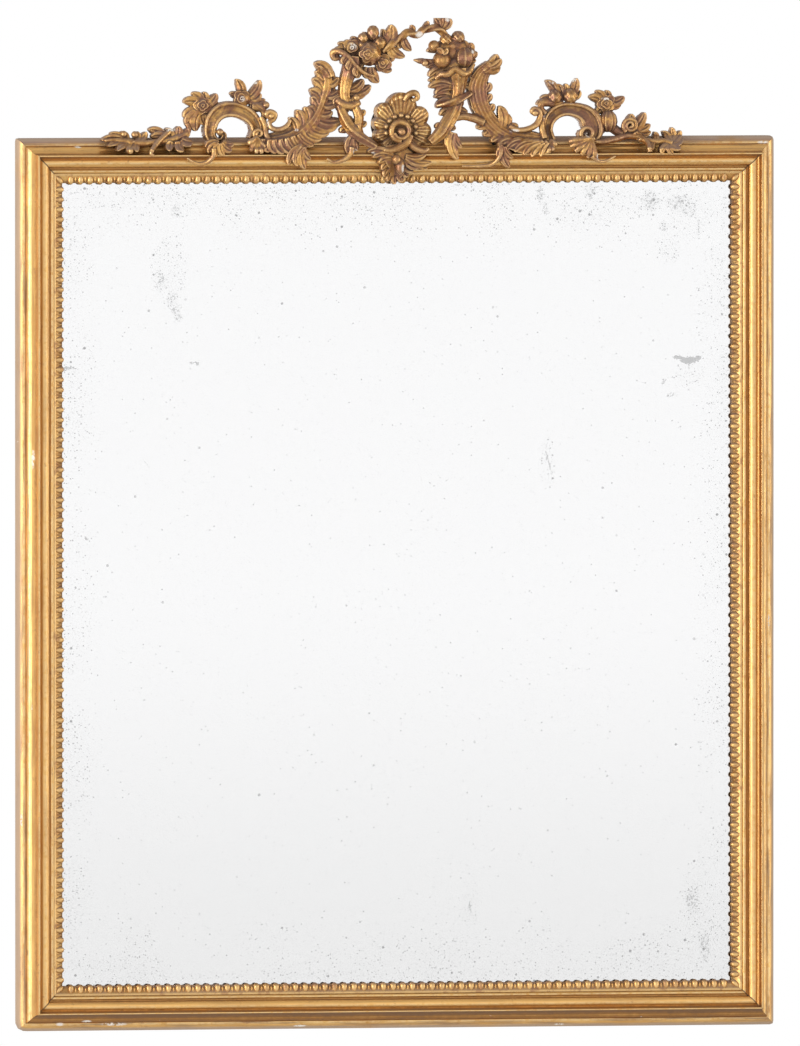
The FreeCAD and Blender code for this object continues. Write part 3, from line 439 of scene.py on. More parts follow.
# Clouds of specks in the silvering, dense and thin ones: pixel place and half sizes in pixels.
DENSE_FOXING = [
    (160, 282, 7, 16), (172, 299, 8, 14), (177, 312, 7, 14), (176, 211, 8, 9), (541, 194, 6, 15),
    (546, 208, 4, 9), (591, 190, 10, 11), (650, 199, 12, 14), (664, 225, 7, 7), (682, 203, 20, 13),
    (690, 210, 10, 7), (672, 394, 9, 3), (693, 902, 9, 22), (706, 945, 8, 22),
]
THIN_FOXING = [
    (92, 199, 22, 18), (185, 196, 42, 14), (92, 234, 16, 10), (170, 270, 22, 50), (620, 200, 60, 22),
    (580, 214, 60, 18), (670, 245, 16, 22), (690, 205, 40, 40), (400, 184, 340, 6), (690, 372, 22, 18),
    (548, 462, 10, 36), (700, 910, 24, 70), (640, 955, 70, 26), (72, 900, 14, 70), (110, 966, 60, 12),
    (400, 974, 330, 6), (470, 905, 12, 30),
]
# Places where the foil is torn: pixel place, half sizes in pixels and lean.
SCARS = [
    (68, 368, 14, 1.6), (62, 369, 6, 2.6), (194, 363, 8, 1), (689, 359, 12, 5), (679, 356, 8, 2.4),
    (698, 357, 6, 4), (664.5, 380, 1, 5.4, -0.5), (699, 226, 0.8, 11, -0.15), (549, 462, 0.6, 16, 0.25),
    (87, 539, 2, 2), (470, 908, 0.7, 12, 0.1),
]
# Level of the foil in millimetres, and distances in metres: from the middle of the plate to where it
# decays, from the middle to its foot, which is greyed with painted shade, and how far the rims of
# clouds and tears are ragged.
PLATE_LEVEL = 10.3
SIDE_DECAY = (0.33, 0.385)
END_DECAY = (0.36, 0.45)
FOOT_SHADE_REACH = (0.02, -0.5)
CLOUD_RAGGED, TEAR_RAGGED = 0.02, 0.012


def pepper(shader, scale, size, density):
    """Specks scattered over the plate, more of them where the density is high."""
    distance, chance = shader.cells(scale)
    speck = distance.ramp(chance[1] * size, chance[1] * (size * 0.5))
    return speck * (density - chance[0]).ramp(-0.01, 0.03)


def aged_silvering(name):
    """Tin and mercury foil: bright, with painted shade towards the foot, foxed in clusters and torn in
    places.
    """
    shader = Shader(name)
    x, y, z = shader.place.split()
    ragged = (shader.noise(90, 4, 0.6) - 0.5) * CLOUD_RAGGED
    dense = patches(shader, DENSE_FOXING, PLATE_LEVEL, ragged) * 0.7
    thin = patches(shader, THIN_FOXING, PLATE_LEVEL, ragged) * 0.22
    rim = abs(x).ramp(*SIDE_DECAY).most(abs(z).ramp(*END_DECAY))
    rim = rim * shader.noise(11, 4, 0.6).ramp(0.34, 0.6) * 0.24
    decay = dense.most(thin, rim) + 0.022
    specks = pepper(shader, 420, 0.55, decay).most(pepper(shader, 900, 0.6, decay) * 0.7)
    dots = pepper(shader, 190, 0.4, decay * 0.5 + 0.008)
    islands = (shader.noise(260, 6, 0.7) + decay * 0.22).ramp(0.68, 0.76)
    frayed = (shader.noise(330, 5, 0.7) - 0.5) * TEAR_RAGGED
    torn = (patches(shader, SCARS, PLATE_LEVEL, frayed) * shader.noise(520, 6, 0.8)).ramp(0.2, 0.3)
    spoilt = (specks * 0.5).most(dots * 0.62, islands * 0.4, torn * 0.45)
    # Painted shade: the foil greyer towards its foot.
    clean = shader.mix(z.ramp(*FOOT_SHADE_REACH), FOIL_BRIGHT, FOIL_FOOT_SHADE)
    haze = shader.noise(800, 3, 0.7).ramp(0.42, 0.72) * 0.06
    clean = shader.mix(haze + decay * 0.12, clean, FOIL_VEIL)
    shader.set("Base Color", shader.mix(spoilt, clean, FOIL_BARE))
    shader.set("Metallic", 1.0)
    shader.set("Roughness", spoilt.ramp(0.0, 1.0, 0.015, 0.3))
    return shader.material


# Finishing a piece

def dress(piece, material, nodes):
    """Give a piece its material and let it stand for its nodes on the frame."""
    piece.data.materials.clear()
    piece.data.materials.append(material)
    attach(piece, "frame")
    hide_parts(*nodes)


def new_piece(name, points, faces, smooth=True):
    mesh = bpy.data.meshes.new(name)
    mesh.from_pydata(points, [], faces)
    shell = bmesh.new()
    shell.from_mesh(mesh)
    bmesh.ops.recalc_face_normals(shell, faces=shell.faces)
    shell.to_mesh(mesh)
    shell.free()
    mesh.polygons.foreach_set("use_smooth", [smooth] * len(mesh.polygons))
    return new_object(name, mesh)


def new_object(name, data):
    made = bpy.data.objects.new(name, data)
    bpy.context.scene.collection.objects.link(made)
    return made


def mark_points(mesh, name, values):
    """Keep a number for each point of a mesh, for its material to read."""
    mesh.attributes.new(name, "FLOAT", "POINT").data.foreach_set("value", values)


class Block:
    """Closed shapes that are joined into one piece."""

    def __init__(self):
        self.points = []
        self.faces = []

    def rings(self, rings):
        """A closed skin over rings of points."""
        first, count = len(self.points), len(rings[0])
        for ring in rings:
            self.points.extend(ring)
        last = first + count * (len(rings) - 1)
        for start in range(first, last, count):
            for step in range(count):
                side = (step + 1) % count
                self.faces.append((start + step, start + side, start + side + count, start + step + count))
        self.faces.append(tuple(range(first, first + count)))
        self.faces.append(tuple(range(last, last + count)))

    def slab(self, rows, thick):
        """A closed slab behind a front of rows of points."""
        behind = BACK * thick * MM
        self.rings([row + [point + behind for point in reversed(row)] for row in rows])

    def dish(self, fronts, thick):
        """A closed body behind a front of rings of points."""
        behind = BACK * thick * MM
        self.rings(fronts + [[point + behind for point in front] for front in (fronts[-1], fronts[0])])


def around(count):
    """Directions that part a full turn evenly."""
    return [TURN * step / count for step in range(count)]


def between(stations, at):
    """The value at a place of a table of places and values."""
    for (low, start), (high, end) in zip(stations, stations[1:]):
        if at <= high:
            return start + (end - start) * (at - low) / (high - low)
    return stations[-1][1]


# Moulded sides: inset, height, bulge of the member that follows and the steps along it.
SKIN_GAP = 0.15
MOULDING = [
    (SKIN_GAP, SKIN_GAP, 0, 3), (SKIN_GAP, 6, 2.4, 12), (9.1, 14.4, 0, 2), (10, 13.4, 1.7, 10),
    (14.2, 20.4, -1.8, 10), (18.8, 36, 0, 2), (18.9, 37.3, 0, 1), (19.5, 38, 0, 2), (20.6, 38, 0, 1),
    (21.1, 37.4, 0, 2), (21.3, 33.4, -0.4, 6), (23.8, 29.8, 3.2, 16), (33.5, 25.7, 0, 2),
    (33.6, 23.7, 0, 2), (35, 23.7, 1.7, 9), (39.8, 22.9, 0, 3), (39.8, 16.55, 0, 3),
    (50.6, 16.55, 0, 2), (50.6, 13.75, 0, 2), (43.6, 13.75, 0, 2), (43.6, 6, 0, 2), (38.6, 6, 0, 2),
    (38.6, SKIN_GAP, 0, 4),
]
# Members whose crown is rubbed and painted pale as a highlight: inset of the crown and half width
# of the rubbed line.
RUBBED_HIGHLIGHT_CROWNS = [(7.4, 2.4), (12, 2.6), (20, 1.3), (28.4, 3.6), (37.4, 2.1)]
CROWN_LOWEST, CROWN_LAST = 8, 41
# Soil lodged along the moulding, with painted shade in its grooves: inset and share.
SOIL_AND_SHADE_SHARES = [
    (0, 0.3), (3, 0.12), (7.5, 0.04), (9.1, 0.06), (10, 0.12), (10.9, 0.02), (13.2, 0.02), (14.4, 0.14),
    (16, 0.22), (18.6, 0.55), (19, 0.2), (20.8, 0.2), (21.4, 0.8), (22.6, 0.6), (24.4, 0.2), (26, 0.05),
    (31, 0.05), (32.4, 0.35), (33.4, 0.7), (34.4, 0.8), (35.4, 0.3), (36.6, 0), (38.4, 0.1), (39.9, 0.6),
]
# Wear of the outer corners in millimetres, and how much further it reaches along the edges.
CORNER_WEAR = {(-1, -1): 3, (1, -1): 1.2, (-1, 1): 0.8, (1, 1): 1.6}
WEAR_REACH = 3
# Unevenness of handwork in millimetres, and how closely its waves follow each other.
SWAY, SWAY_CLOSENESS = 0.16, 30
DENT, DENT_CLOSENESS, DENT_START = 0.22, 120, 0.25
WANDER, WANDER_CLOSENESS = 0.12, 45
DENT_SEED, WANDER_SEED = BACK * 7, BACK
# Handwork shows up to an inset, and grows from a height over a span.
HANDWORK_INSET = 39
HANDWORK_LOWEST, HANDWORK_SPAN = 5, 4
RUN_STEP = 4
MITRE_GAP = 0.12
RAIL_SHARP, BEAD_SHARP = math.radians(38), math.radians(50)


def arc_points(start, end, bulge, steps):
    """Points from start up to end along a member, which swells by its bulge."""
    chord = end - start
    if not bulge:
        return [start + chord * (step / steps) for step in range(steps)]
    rise = abs(bulge)
    outward = Vector((-chord.y, chord.x)).normalized() * math.copysign(1, bulge)
    radius = (chord.length_squared / 4 + rise * rise) / (2 * rise)
    half_angle = math.asin(min(1, chord.length / 2 / radius))
    points = []
    for step in range(steps):
        angle = half_angle * (2 * step / steps - 1)
        lift = radius * math.cos(angle) - (radius - rise)
        points.append((start + end) / 2 + outward * lift + chord.normalized() * radius * math.sin(angle))
    return points


def profile_points():
    corners = [Vector(member[:2]) for member in MOULDING]
    points = []
    for index, member in enumerate(MOULDING):
        points += arc_points(corners[index], corners[(index + 1) % len(corners)], *member[2:])
    return points


def crown_highlight_share(inset, high):
    """How much a spot of the moulding lies on a crown that is worn and painted pale as a highlight."""
    if high < CROWN_LOWEST or inset > CROWN_LAST:
        return 0.0
    return max(max(0.0, 1 - abs(inset - crown) / half) for crown, half in RUBBED_HIGHLIGHT_CROWNS)


def worn_corner(point):
    """Round an outer corner of the frame off by its wear."""
    sign_x, sign_z = math.copysign(1, point.x), math.copysign(1, point.z)
    wear = CORNER_WEAR[(sign_x, sign_z)] * MM
    near_x = max(0, 1 - (half_width * MM - abs(point.x)) / (WEAR_REACH * wear))
    near_z = max(0, 1 - (half_height * MM - abs(point.z)) / (WEAR_REACH * wear))
    pull = wear * near_x * near_z
    return point - Vector((sign_x * pull, 0, sign_z * pull))


def handwork(place, inset, high):
    """How far a spot of the moulding strays in inset and in height."""
    if inset >= HANDWORK_INSET:
        return 0, 0
    front = min(1, max(0, (high - HANDWORK_LOWEST) / HANDWORK_SPAN))
    sway = SWAY * noise.noise(place * SWAY_CLOSENESS)
    dent = DENT * max(0, noise.noise(place * DENT_CLOSENESS + DENT_SEED) - DENT_START)
    wander = WANDER * noise.noise(place * WANDER_CLOSENESS + WANDER_SEED)
    return front * wander, front * (sway - dent)


def moulded_side(name, node):
    """One side of the frame with the small unevenness of handwork."""
    half, to_place = SIDES[name]
    profile = profile_points()
    steps = int(2 * half / RUN_STEP)
    marks = {"run": [], "inset": [], "mitre": [], "proud": [], "dirt_and_shade": []}
    rings = []
    for step in range(steps + 1):
        share = 2 * step / steps - 1
        ring = []
        for inset, high in profile:
            run = share * (half - inset - MITRE_GAP)
            aside, ahead = handwork(to_place(run, inset, high), inset, high)
            ring.append(worn_corner(to_place(run, inset + aside, high + ahead)))
            from_mitre = half - inset - abs(run)
            values = (run, inset, from_mitre, crown_highlight_share(inset, high), between(SOIL_AND_SHADE_SHARES, inset))
            for key, value in zip(marks, values):
                marks[key].append(value)
        rings.append(ring)
    block = Block()
    block.rings(rings)
    piece = new_piece(node + "_gilded", block.points, block.faces)
    piece.data.set_sharp_from_angle(angle=RAIL_SHARP)
    for key, values in marks.items():
        mark_points(piece.data, key, values)
    dress(piece, rail_gilding, [node])


# Bead course: inset of the row, half sizes of a bead, of a dart and of a corner leaf along, across and
# in height, how far beads vary, and the section of the strip they stand on.
SIGHT_INSET = 50.6
BEAD_PITCH = 11.2
BEAD_OVERHANG = 1.5
BEAD_RADIUS = 4.6
BEAD_INSET = 46.3
BEAD_ALONG, BEAD_ACROSS, BEAD_HIGH = 3.8, 6.2, 4.7
DART_SIZES = (1.5, 4.6, 3.6)
DART_SETBACK = 0.8
CORNER_SIZES = (3.4, 6.6, BEAD_HIGH)
BEAD_VARIES, BEAD_SHIFTS, BEAD_CLOSENESS = 0.07, 0.35, 0.37
BEAD_SEED = BACK * 3
SLIP_FOOT = 16.55
SLIP_PROFILE = [
    (39.9, 16.55), (39.9, 21.8), (41.4, 21.7), (43, 20.1), (46.6, 18.6), (50.2, 17.1), (50.4, 16.55),
]
# Height at which a bead is neither rubbed pale with a painted highlight nor soiled and darkened with
# painted shade, and how fast and how far it goes either way.
BEAD_MIDDLE = 19.2
BEAD_RELIEF_RATE, BEAD_RELIEF_MOST = 0.12, 0.3
# An egg: rings and sides of its mesh, where it closes, how full, how lopsided and how deep it sits.
EGG_RINGS, EGG_SIDES = 7, 16
EGG_CLOSES = 6.5
EGG_FULLNESS, EGG_LOPSIDED, EGG_BEDDED = 0.75, 0.2, 0.15


def egg(block, to_place, run, inset, sizes, turn=0.0):
    """A carved bead: an egg that widens towards the sight edge."""
    along, across, high = sizes
    rings = []
    for level in range(EGG_RINGS):
        polar = math.pi / 2 * (1 - level / EGG_CLOSES)
        reach = math.sin(polar) ** EGG_FULLNESS
        lift = high * (math.cos(polar) if level else -EGG_BEDDED)
        ring = []
        for angle in around(EGG_SIDES):
            forth = along * reach * math.cos(angle) * (1 + EGG_LOPSIDED * math.sin(angle))
            aside = across * reach * math.sin(angle)
            ring.append(to_place(run + forth * math.cos(turn) - aside * math.sin(turn),
                                 inset + forth * math.sin(turn) + aside * math.cos(turn), SLIP_FOOT + lift))
        rings.append(ring)
    block.rings(rings)


def bead_slip(name):
    """Bead course along the sight edge, with a dart between two beads and a leaf at a corner."""
    half, to_place = SIDES[name]
    block = Block()
    ends = (-1, 1)
    strip = [[to_place(end * (half - inset), inset, high) for inset, high in SLIP_PROFILE] for end in ends]
    block.rings(strip)
    free = 2 * (half - SIGHT_INSET - BEAD_OVERHANG - BEAD_RADIUS)
    gaps = int(free // BEAD_PITCH)
    for number in range(gaps + 1):
        run = BEAD_PITCH * (number - gaps / 2)
        chance = Vector((run, half, len(name))) * BEAD_CLOSENESS
        size = 1 + BEAD_VARIES * noise.noise(chance)
        shift = BEAD_SHIFTS * noise.noise(chance + BEAD_SEED)
        egg(block, to_place, run + shift, BEAD_INSET, (BEAD_ALONG * size, BEAD_ACROSS, BEAD_HIGH * size))
        if number < gaps:
            egg(block, to_place, run + BEAD_PITCH / 2, BEAD_INSET - DART_SETBACK, DART_SIZES)
    if name in ("top", "bottom"):
        for end in ends:
            egg(block, to_place, end * (half - BEAD_INSET), BEAD_INSET, CORNER_SIZES, end * TURN / 8)
    piece = new_piece(f"{name}_beads", block.points, block.faces)
    piece.data.set_sharp_from_angle(angle=BEAD_SHARP)
    # Higher on a bead: worn pale with a painted highlight; lower: soiled and darkened with painted shade.
    lifts = [BEAD_RELIEF_RATE * (-point.y / MM - BEAD_MIDDLE) for point in block.points]
    lifts = [min(BEAD_RELIEF_MOST, max(-BEAD_RELIEF_MOST, lift)) for lift in lifts]
    mark_points(piece.data, "relief", lifts)
    dress(piece, bead_gilding, [f"{name}_bead_slip"])


# Carving tools

# Bed that carving on the top rail is worked down to: inset and level.
CARVING_BED = [(-8, 0), (-2, 19), (0, 22), (14.2, 39.5), (23, 39.5), (33.5, 31), (50.6, 23.5), (62, 20)]


def rail_top(px):
    return RAIL_TOP_PX + RAIL_TOP_TILT * (px - FRAME_CENTRE_PX)


def bed_level(px, py):
    """Level of the carving bed under a pixel."""
    inset = (py - rail_top(px)) * UP_MM
    return between(CARVING_BED, max(inset, CARVING_BED[0][0]))


def spot(px, py, level):
    """The place of a photograph pixel at a level."""
    x = (px - FRAME_CENTRE_PX) * ACROSS_MM - level * math.tan(VIEW_YAW)
    return Vector((x, -level, half_height + (rail_top(px) - py) * UP_MM)) * MM


def smooth_line(points, steps):
    """Stations on a smooth line through all the points."""
    last = len(points) - 1
    line = []
    for index in range(last):
        a, b, c, d = (Vector(points[max(0, min(last, index + shift))]) for shift in (-1, 0, 1, 2))
        for step in range(steps):
            t = step / steps
            line.append((2 * b + (c - a) * t + (2 * a - 5 * b + 4 * c - d) * t * t
                         + (3 * b - a - 3 * c + d) * t ** 3) / 2)
    return line + [Vector(points[-1])]


def station_frame(line, index):
    """Heading and normal in the picture plane at a station of a line."""
    ahead, behind = line[min(index + 1, len(line) - 1)], line[max(index - 1, 0)]
    heading = Vector((ahead[0] - behind[0], ahead[1] - behind[1])).normalized()
    return heading, Vector((-heading.y, heading.x))


# How deep a branch sinks into its bed as a share of its radius, and its least radius in pixels.
SUNK_SHARE = 0.3
LEAST_RADIUS = 0.25


def tube(block, points, steps=5, sides=12, flutes=0, groove=0.0, twist=0.0, on_bed=True):
    """A round branch through (px, py, level, radius in pixels), fluted and twisted if asked."""
    line = smooth_line(points, steps)
    centres = []
    for px, py, level, radius in line:
        if on_bed:
            level = max(level, bed_level(px, py) - radius * SUNK_SHARE)
        centres.append(spot(px, py, level))
    rings = []
    last = len(line) - 1
    for index, centre in enumerate(centres):
        heading = (centres[min(index + 1, last)] - centres[max(index - 1, 0)]).normalized()
        side = heading.cross(BACK).normalized()
        front = heading.cross(side).normalized()
        radius = max(line[index][3], LEAST_RADIUS) * UP_MM * MM
        ring = []
        for angle in around(sides):
            reach = radius * (1 + groove * math.cos(flutes * angle + twist * index))
            ring.append(centre + side * reach * math.cos(angle) + front * reach * math.sin(angle))
        rings.append(ring)
    block.rings(rings)


# Width of the rib of a leaf, as a share of the half width.
RIB_WIDTH = 0.16


def leaf(block, spine, rib=0.0, curl=0.0, lean=0.0, flutes=0, flute=0.0, tilt=0.0, thick=10.0, steps=10,
         across=9):
    """A carved leaf along (px, py, level, half width to one side, half width to the other)."""
    line = smooth_line(spine, steps)
    rows = []
    for index, (px, py, level, plus, minus) in enumerate(line):
        heading, normal = station_frame(line, index)
        row = []
        for step in range(-across, across + 1):
            share = step / across
            width = plus if share > 0 else minus
            x = px + (normal.x * share + heading.x * lean * abs(share)) * width
            y = py + (normal.y * share + heading.y * lean * abs(share)) * width
            rise = rib * math.exp(-(share / RIB_WIDTH) ** 2) + curl * share * share
            rise += tilt * share - flute * abs(math.cos(math.pi * flutes * share / 2))
            row.append(spot(x, y, max(level, bed_level(x, y)) + rise))
        rows.append(row)
    block.slab(rows, thick)


# Outline of a lobe: share of its length and share of its half width.
LOBE_SHAPE = [(0, 0.6), (0.3, 0.95), (0.6, 1), (0.85, 0.72), (1, 0.22)]
# Lift of a lobe's root, depth of the gouge along its middle and fall of its edges, in millimetres.
LOBE_LIFT, LOBE_GOUGE, LOBE_FALL = 1.2, 1.2, 1.5
LOBE_BEND = 0.14
LOBE_STEPS, LOBE_ACROSS = 5, 6


def lobe(block, px, py, tip_px, tip_py, half, level, tilt=1.0, thick=10.0):
    """A lobe of a leaf from its root to its tip, gouged along its middle and lapping its neighbour."""
    start = Vector((px, py))
    run = Vector((tip_px, tip_py)) - start
    side = Vector((-run.y, run.x)) * LOBE_BEND
    spine = []
    for share, width in LOBE_SHAPE:
        place = start + run * share + side * 4 * share * (1 - share)
        spine.append((*place, level + LOBE_LIFT * (1 - share), half * width, half * width))
    fineness = {"steps": LOBE_STEPS, "across": LOBE_ACROSS}
    leaf(block, spine, -LOBE_GOUGE, -LOBE_FALL, tilt=tilt, thick=thick, **fineness)


def lobes(block, rows, **shape):
    """Lobes by their root and tip in pixels, half width in pixels and level."""
    for row in rows:
        lobe(block, *row, **shape)


# The body of an acanthus leaf: rib, fall of its edges, depth of its flutes, and the drop of its base.
BLADE_RIB, BLADE_FALL, BLADE_FLUTE, BLADE_THICK = 0.4, 2.2, 0.65, 15
BASE_DROP = 3


def blade(block, spine, flutes, body, lift):
    """The fluted body of an acanthus leaf, a share of its width, which laps the roots of the lobes."""
    ribs = [(px, py, level + lift, body * plus, body * minus) for px, py, level, plus, minus in spine]
    leaf(block, ribs, BLADE_RIB, -BLADE_FALL, flutes=flutes, flute=BLADE_FLUTE, thick=BLADE_THICK)
    leaf(block, [(px, py, level - BASE_DROP, plus, minus) for px, py, level, plus, minus in spine])


# Section of a carved scroll: share across and rise in millimetres.
SCROLL_SECTION = [
    (-1, -4.5), (-0.95, -0.6), (-0.74, 0.9), (-0.52, 0.2), (-0.42, -1.3), (-0.1, -2.0), (0.2, -1.5),
    (0.42, -0.4), (0.62, 1.2), (0.86, 0.9), (0.97, -0.8), (1, -4.5),
]
# Thickness of a scroll, half width in pixels from which its section is full, and its stand on the bed.
SCROLL_THICK, SCROLL_FULL, SCROLL_STAND = 17, 4, 1
SCROLL_STEPS = 8


def scroll(block, spine):
    """A moulded band along (px, py, level, half width in pixels)."""
    line = smooth_line(spine, SCROLL_STEPS)
    rows = []
    for index, (px, py, level, half) in enumerate(line):
        heading, normal = station_frame(line, index)
        deep = min(1.0, half / SCROLL_FULL)
        row = []
        for share, rise in SCROLL_SECTION:
            x, y = px + normal.x * share * half, py + normal.y * share * half
            row.append(spot(x, y, max(level, bed_level(px, py) + SCROLL_STAND) + rise * deep))
        rows.append(row)
    block.slab(rows, SCROLL_THICK)


BALL_LAPS, BALL_SIDES = 16, 24


def ball(block, px, py, level, radius, tall=1.0, bumps=0, bump=0.0, flutes=0, groove=0.0):
    """A fruit or bud: round, fluted from pole to pole or covered with bumps."""
    centre = spot(px, py, max(level, bed_level(px, py)))
    size = radius * UP_MM * MM
    rings = []
    for lap in range(1, BALL_LAPS):
        polar = math.pi * lap / BALL_LAPS
        ring = []
        for angle in around(BALL_SIDES):
            lump = bump * math.cos(bumps * angle) * math.cos(bumps * polar)
            reach = size * (1 + groove * math.cos(flutes * angle) + lump)
            girth = reach * math.sin(polar)
            ring.append(centre + Vector((girth * math.cos(angle), girth * math.sin(angle),
                                         reach * tall * math.cos(polar))))
        rings.append(ring)
    block.rings(rings)


# A rose: mesh, swell as a share of its radius, notch between two petals, turn of each ring of petals
# against the last, and shares of its rise in the step between rings, in a petal's cup and in its droop.
ROSE_STEPS, ROSE_SPOKES, ROSE_RINGS = 22, 60, 2
ROSE_DOME, ROSE_CREST = 0.45, 0.75
ROSE_NOTCH, ROSE_TURN, ROSE_BUD = 0.26, 1.3, 0.6
ROSE_STEP_SHARE, ROSE_CUP_SHARE, ROSE_DROOP_SHARE = 0.45, 0.25, 0.25
LEAST_PETAL = 0.01


def petal_border(ring, angle, petals, phase):
    """Share of a rose's radius that a ring of petals reaches in a direction."""
    swell = abs(math.sin((petals - ring) * angle / 2 + phase + ROSE_TURN * ring))
    return (1 - ring / (ROSE_RINGS + ROSE_BUD)) * (1 - ROSE_NOTCH + ROSE_NOTCH * swell)


def rose(block, px, py, level, radius, petals=5, rise=7.0, phase=0.0, thick=9.0):
    """A rose seen from the front: rings of cupped petals round a bud."""
    fronts = []
    for step in range(1, ROSE_STEPS + 1):
        row = []
        for angle in around(ROSE_SPOKES):
            borders = [petal_border(ring, angle, petals, phase) for ring in range(ROSE_RINGS + 1)] + [0]
            share = step / ROSE_STEPS * borders[0]
            ring = max(k for k in range(ROSE_RINGS + 1) if k == 0 or borders[k] >= share)
            inner = borders[ring + 1]
            local = (share - inner) / max(borders[ring] - inner, LEAST_PETAL)
            cup = ring / ROSE_RINGS * ROSE_STEP_SHARE + ROSE_CUP_SHARE * local ** 2
            dome = ROSE_DOME * radius * (ROSE_CREST - share * share)
            x, y = px + math.cos(angle) * share * radius, py + math.sin(angle) * share * radius
            row.append(spot(x, y, level + rise * (cup - ROSE_DROOP_SHARE * share) + dome))
        fronts.append(row)
    block.dish(fronts, thick)


# Radius of a gadroon at its root and at its tip, as a share of its greatest radius.
FAN_ROOT, FAN_TIP = 0.4, 0.55


def fan(block, root, tips, level, radius, lift=1.5):
    """Gadroons that spread from a root to their tips."""
    for px, py in tips:
        middle = ((root[0] + 2 * px) / 3, (root[1] + 2 * py) / 3)
        tube(block, [(*root, level, radius * FAN_ROOT), (*middle, level + lift, radius),
                     (px, py, level, radius * FAN_TIP)])


# Stations in each turn of a spiral, rise to its eye in millimetres, and how much it thins.
CURL_STATIONS, CURL_STEPS = 8, 3
CURL_RISE, CURL_TAPER = 2, 0.45


def curl(block, px, py, level, start, end, turns, radius, phase):
    """A spiral that winds in from a start to an end radius."""
    points = []
    count = int(CURL_STATIONS * turns) + 1
    for step in range(count + 1):
        share = step / count
        reach = start + (end - start) * share
        angle = phase + TURN * turns * share
        x, y = px + reach * math.cos(angle), py + reach * math.sin(angle)
        points.append((x, y, level + CURL_RISE * share, radius * (1 - CURL_TAPER * share)))
    tube(block, points, CURL_STEPS)


# Grain of the carved surface in millimetres, for the wings and for all the rest.
WING_VOXEL, VOXEL = 0.65, 0.55
SOFTENING = 0.5
# Height of tool marks in millimetres, how closely they follow each other, and sharpening of edges.
TOOL_MARK, TOOL_CLOSENESS = 0.2, 330
FINE_MARK, FINE_CLOSENESS = 0.1, 900
CRISPNESS = 0.35
RELIEF_LAPS = 8


def relief_of(mesh):
    """How far each point stands proud of its surroundings, in millimetres."""
    count = len(mesh.vertices)
    places, normals = np.empty(count * 3), np.empty(count * 3)
    mesh.vertices.foreach_get("co", places)
    mesh.vertices.foreach_get("normal", normals)
    places = places.reshape(-1, 3)
    ends = np.empty(len(mesh.edges) * 2, dtype=np.int64)
    mesh.edges.foreach_get("vertices", ends)
    one, other = ends[0::2], ends[1::2]
    neighbours = np.bincount(ends, minlength=count)
    ground = places.copy()
    for lap in range(RELIEF_LAPS):
        sums = [np.bincount(one, ground[other, axis], count) + np.bincount(other, ground[one, axis], count)
                for axis in range(3)]
        ground = np.stack(sums, axis=1) / neighbours[:, None]
    return ((places - ground) * normals.reshape(-1, 3)).sum(axis=1) / MM


def carve(shapes, voxel, material):
    """Join the shapes of a function into one carved piece and let it stand for the node of its name."""
    node = shapes.__name__
    block = Block()
    shapes(block)
    piece = new_piece(node + "_carved", block.points, block.faces)
    joined = piece.modifiers.new("Join", "REMESH")
    joined.mode = "VOXEL"
    joined.voxel_size = voxel * MM
    softened = piece.modifiers.new("Soften", "SMOOTH")
    softened.factor = SOFTENING
    softened.iterations = 1
    finished = bpy.data.meshes.new_from_object(piece.evaluated_get(bpy.context.evaluated_depsgraph_get()))
    piece.modifiers.clear()
    piece.data = finished
    relief = relief_of(finished)
    places = []
    for vertex, sharp in zip(finished.vertices, relief):
        mark = TOOL_MARK * noise.noise(vertex.co * TOOL_CLOSENESS)
        mark += FINE_MARK * noise.noise(vertex.co * FINE_CLOSENESS)
        place = vertex.co + vertex.normal * (mark + CRISPNESS * sharp) * MM
        places.append((place.x, max(place.y, cad_box[0].y), min(place.z, cad_box[1].z)))
    for vertex, place in zip(finished.vertices, places):
        vertex.co = place
    mark_points(finished, "relief", relief)
    finished.polygons.foreach_set("use_smooth", [True] * len(finished.polygons))
    dress(piece, material, [node])


# The carved crest, with one function for each piece. Scrolls, horns and stems run through px, py, level
# and half width or radius in pixels, blades have two half widths. Lobes have root, tip, half width, level.

LEFT_SCROLL = [
    (220.4, 131, 29, 1.6), (224.4, 134, 29, 2.4), (222.6, 139.8, 28, 3.2), (216.4, 141, 27, 4.2),
    (211, 135.5, 26, 5.6), (211, 126, 25, 6.6), (214.2, 117, 24.5, 7.4), (221.4, 110.6, 24, 8),
    (231, 108.6, 24, 8), (241, 110.4, 24, 7.8), (250, 115.6, 24.5, 7.2), (255.8, 123, 25, 6.4),
    (257, 131, 26, 6), (253.6, 139, 30, 5.4),
]
LEFT_BLADE = [
    (257, 138, 29, 6, 5), (268, 140.5, 31, 8, 8), (280, 141, 32, 8, 11), (292, 138, 32, 9, 12),
    (303, 131, 32, 11, 12), (312, 121, 32, 11, 10), (319, 109, 31, 9, 7), (324, 96, 31, 9, 8),
    (327, 83, 31, 9, 9), (326, 72, 32, 8, 8), (320, 65, 34, 4, 4),
]
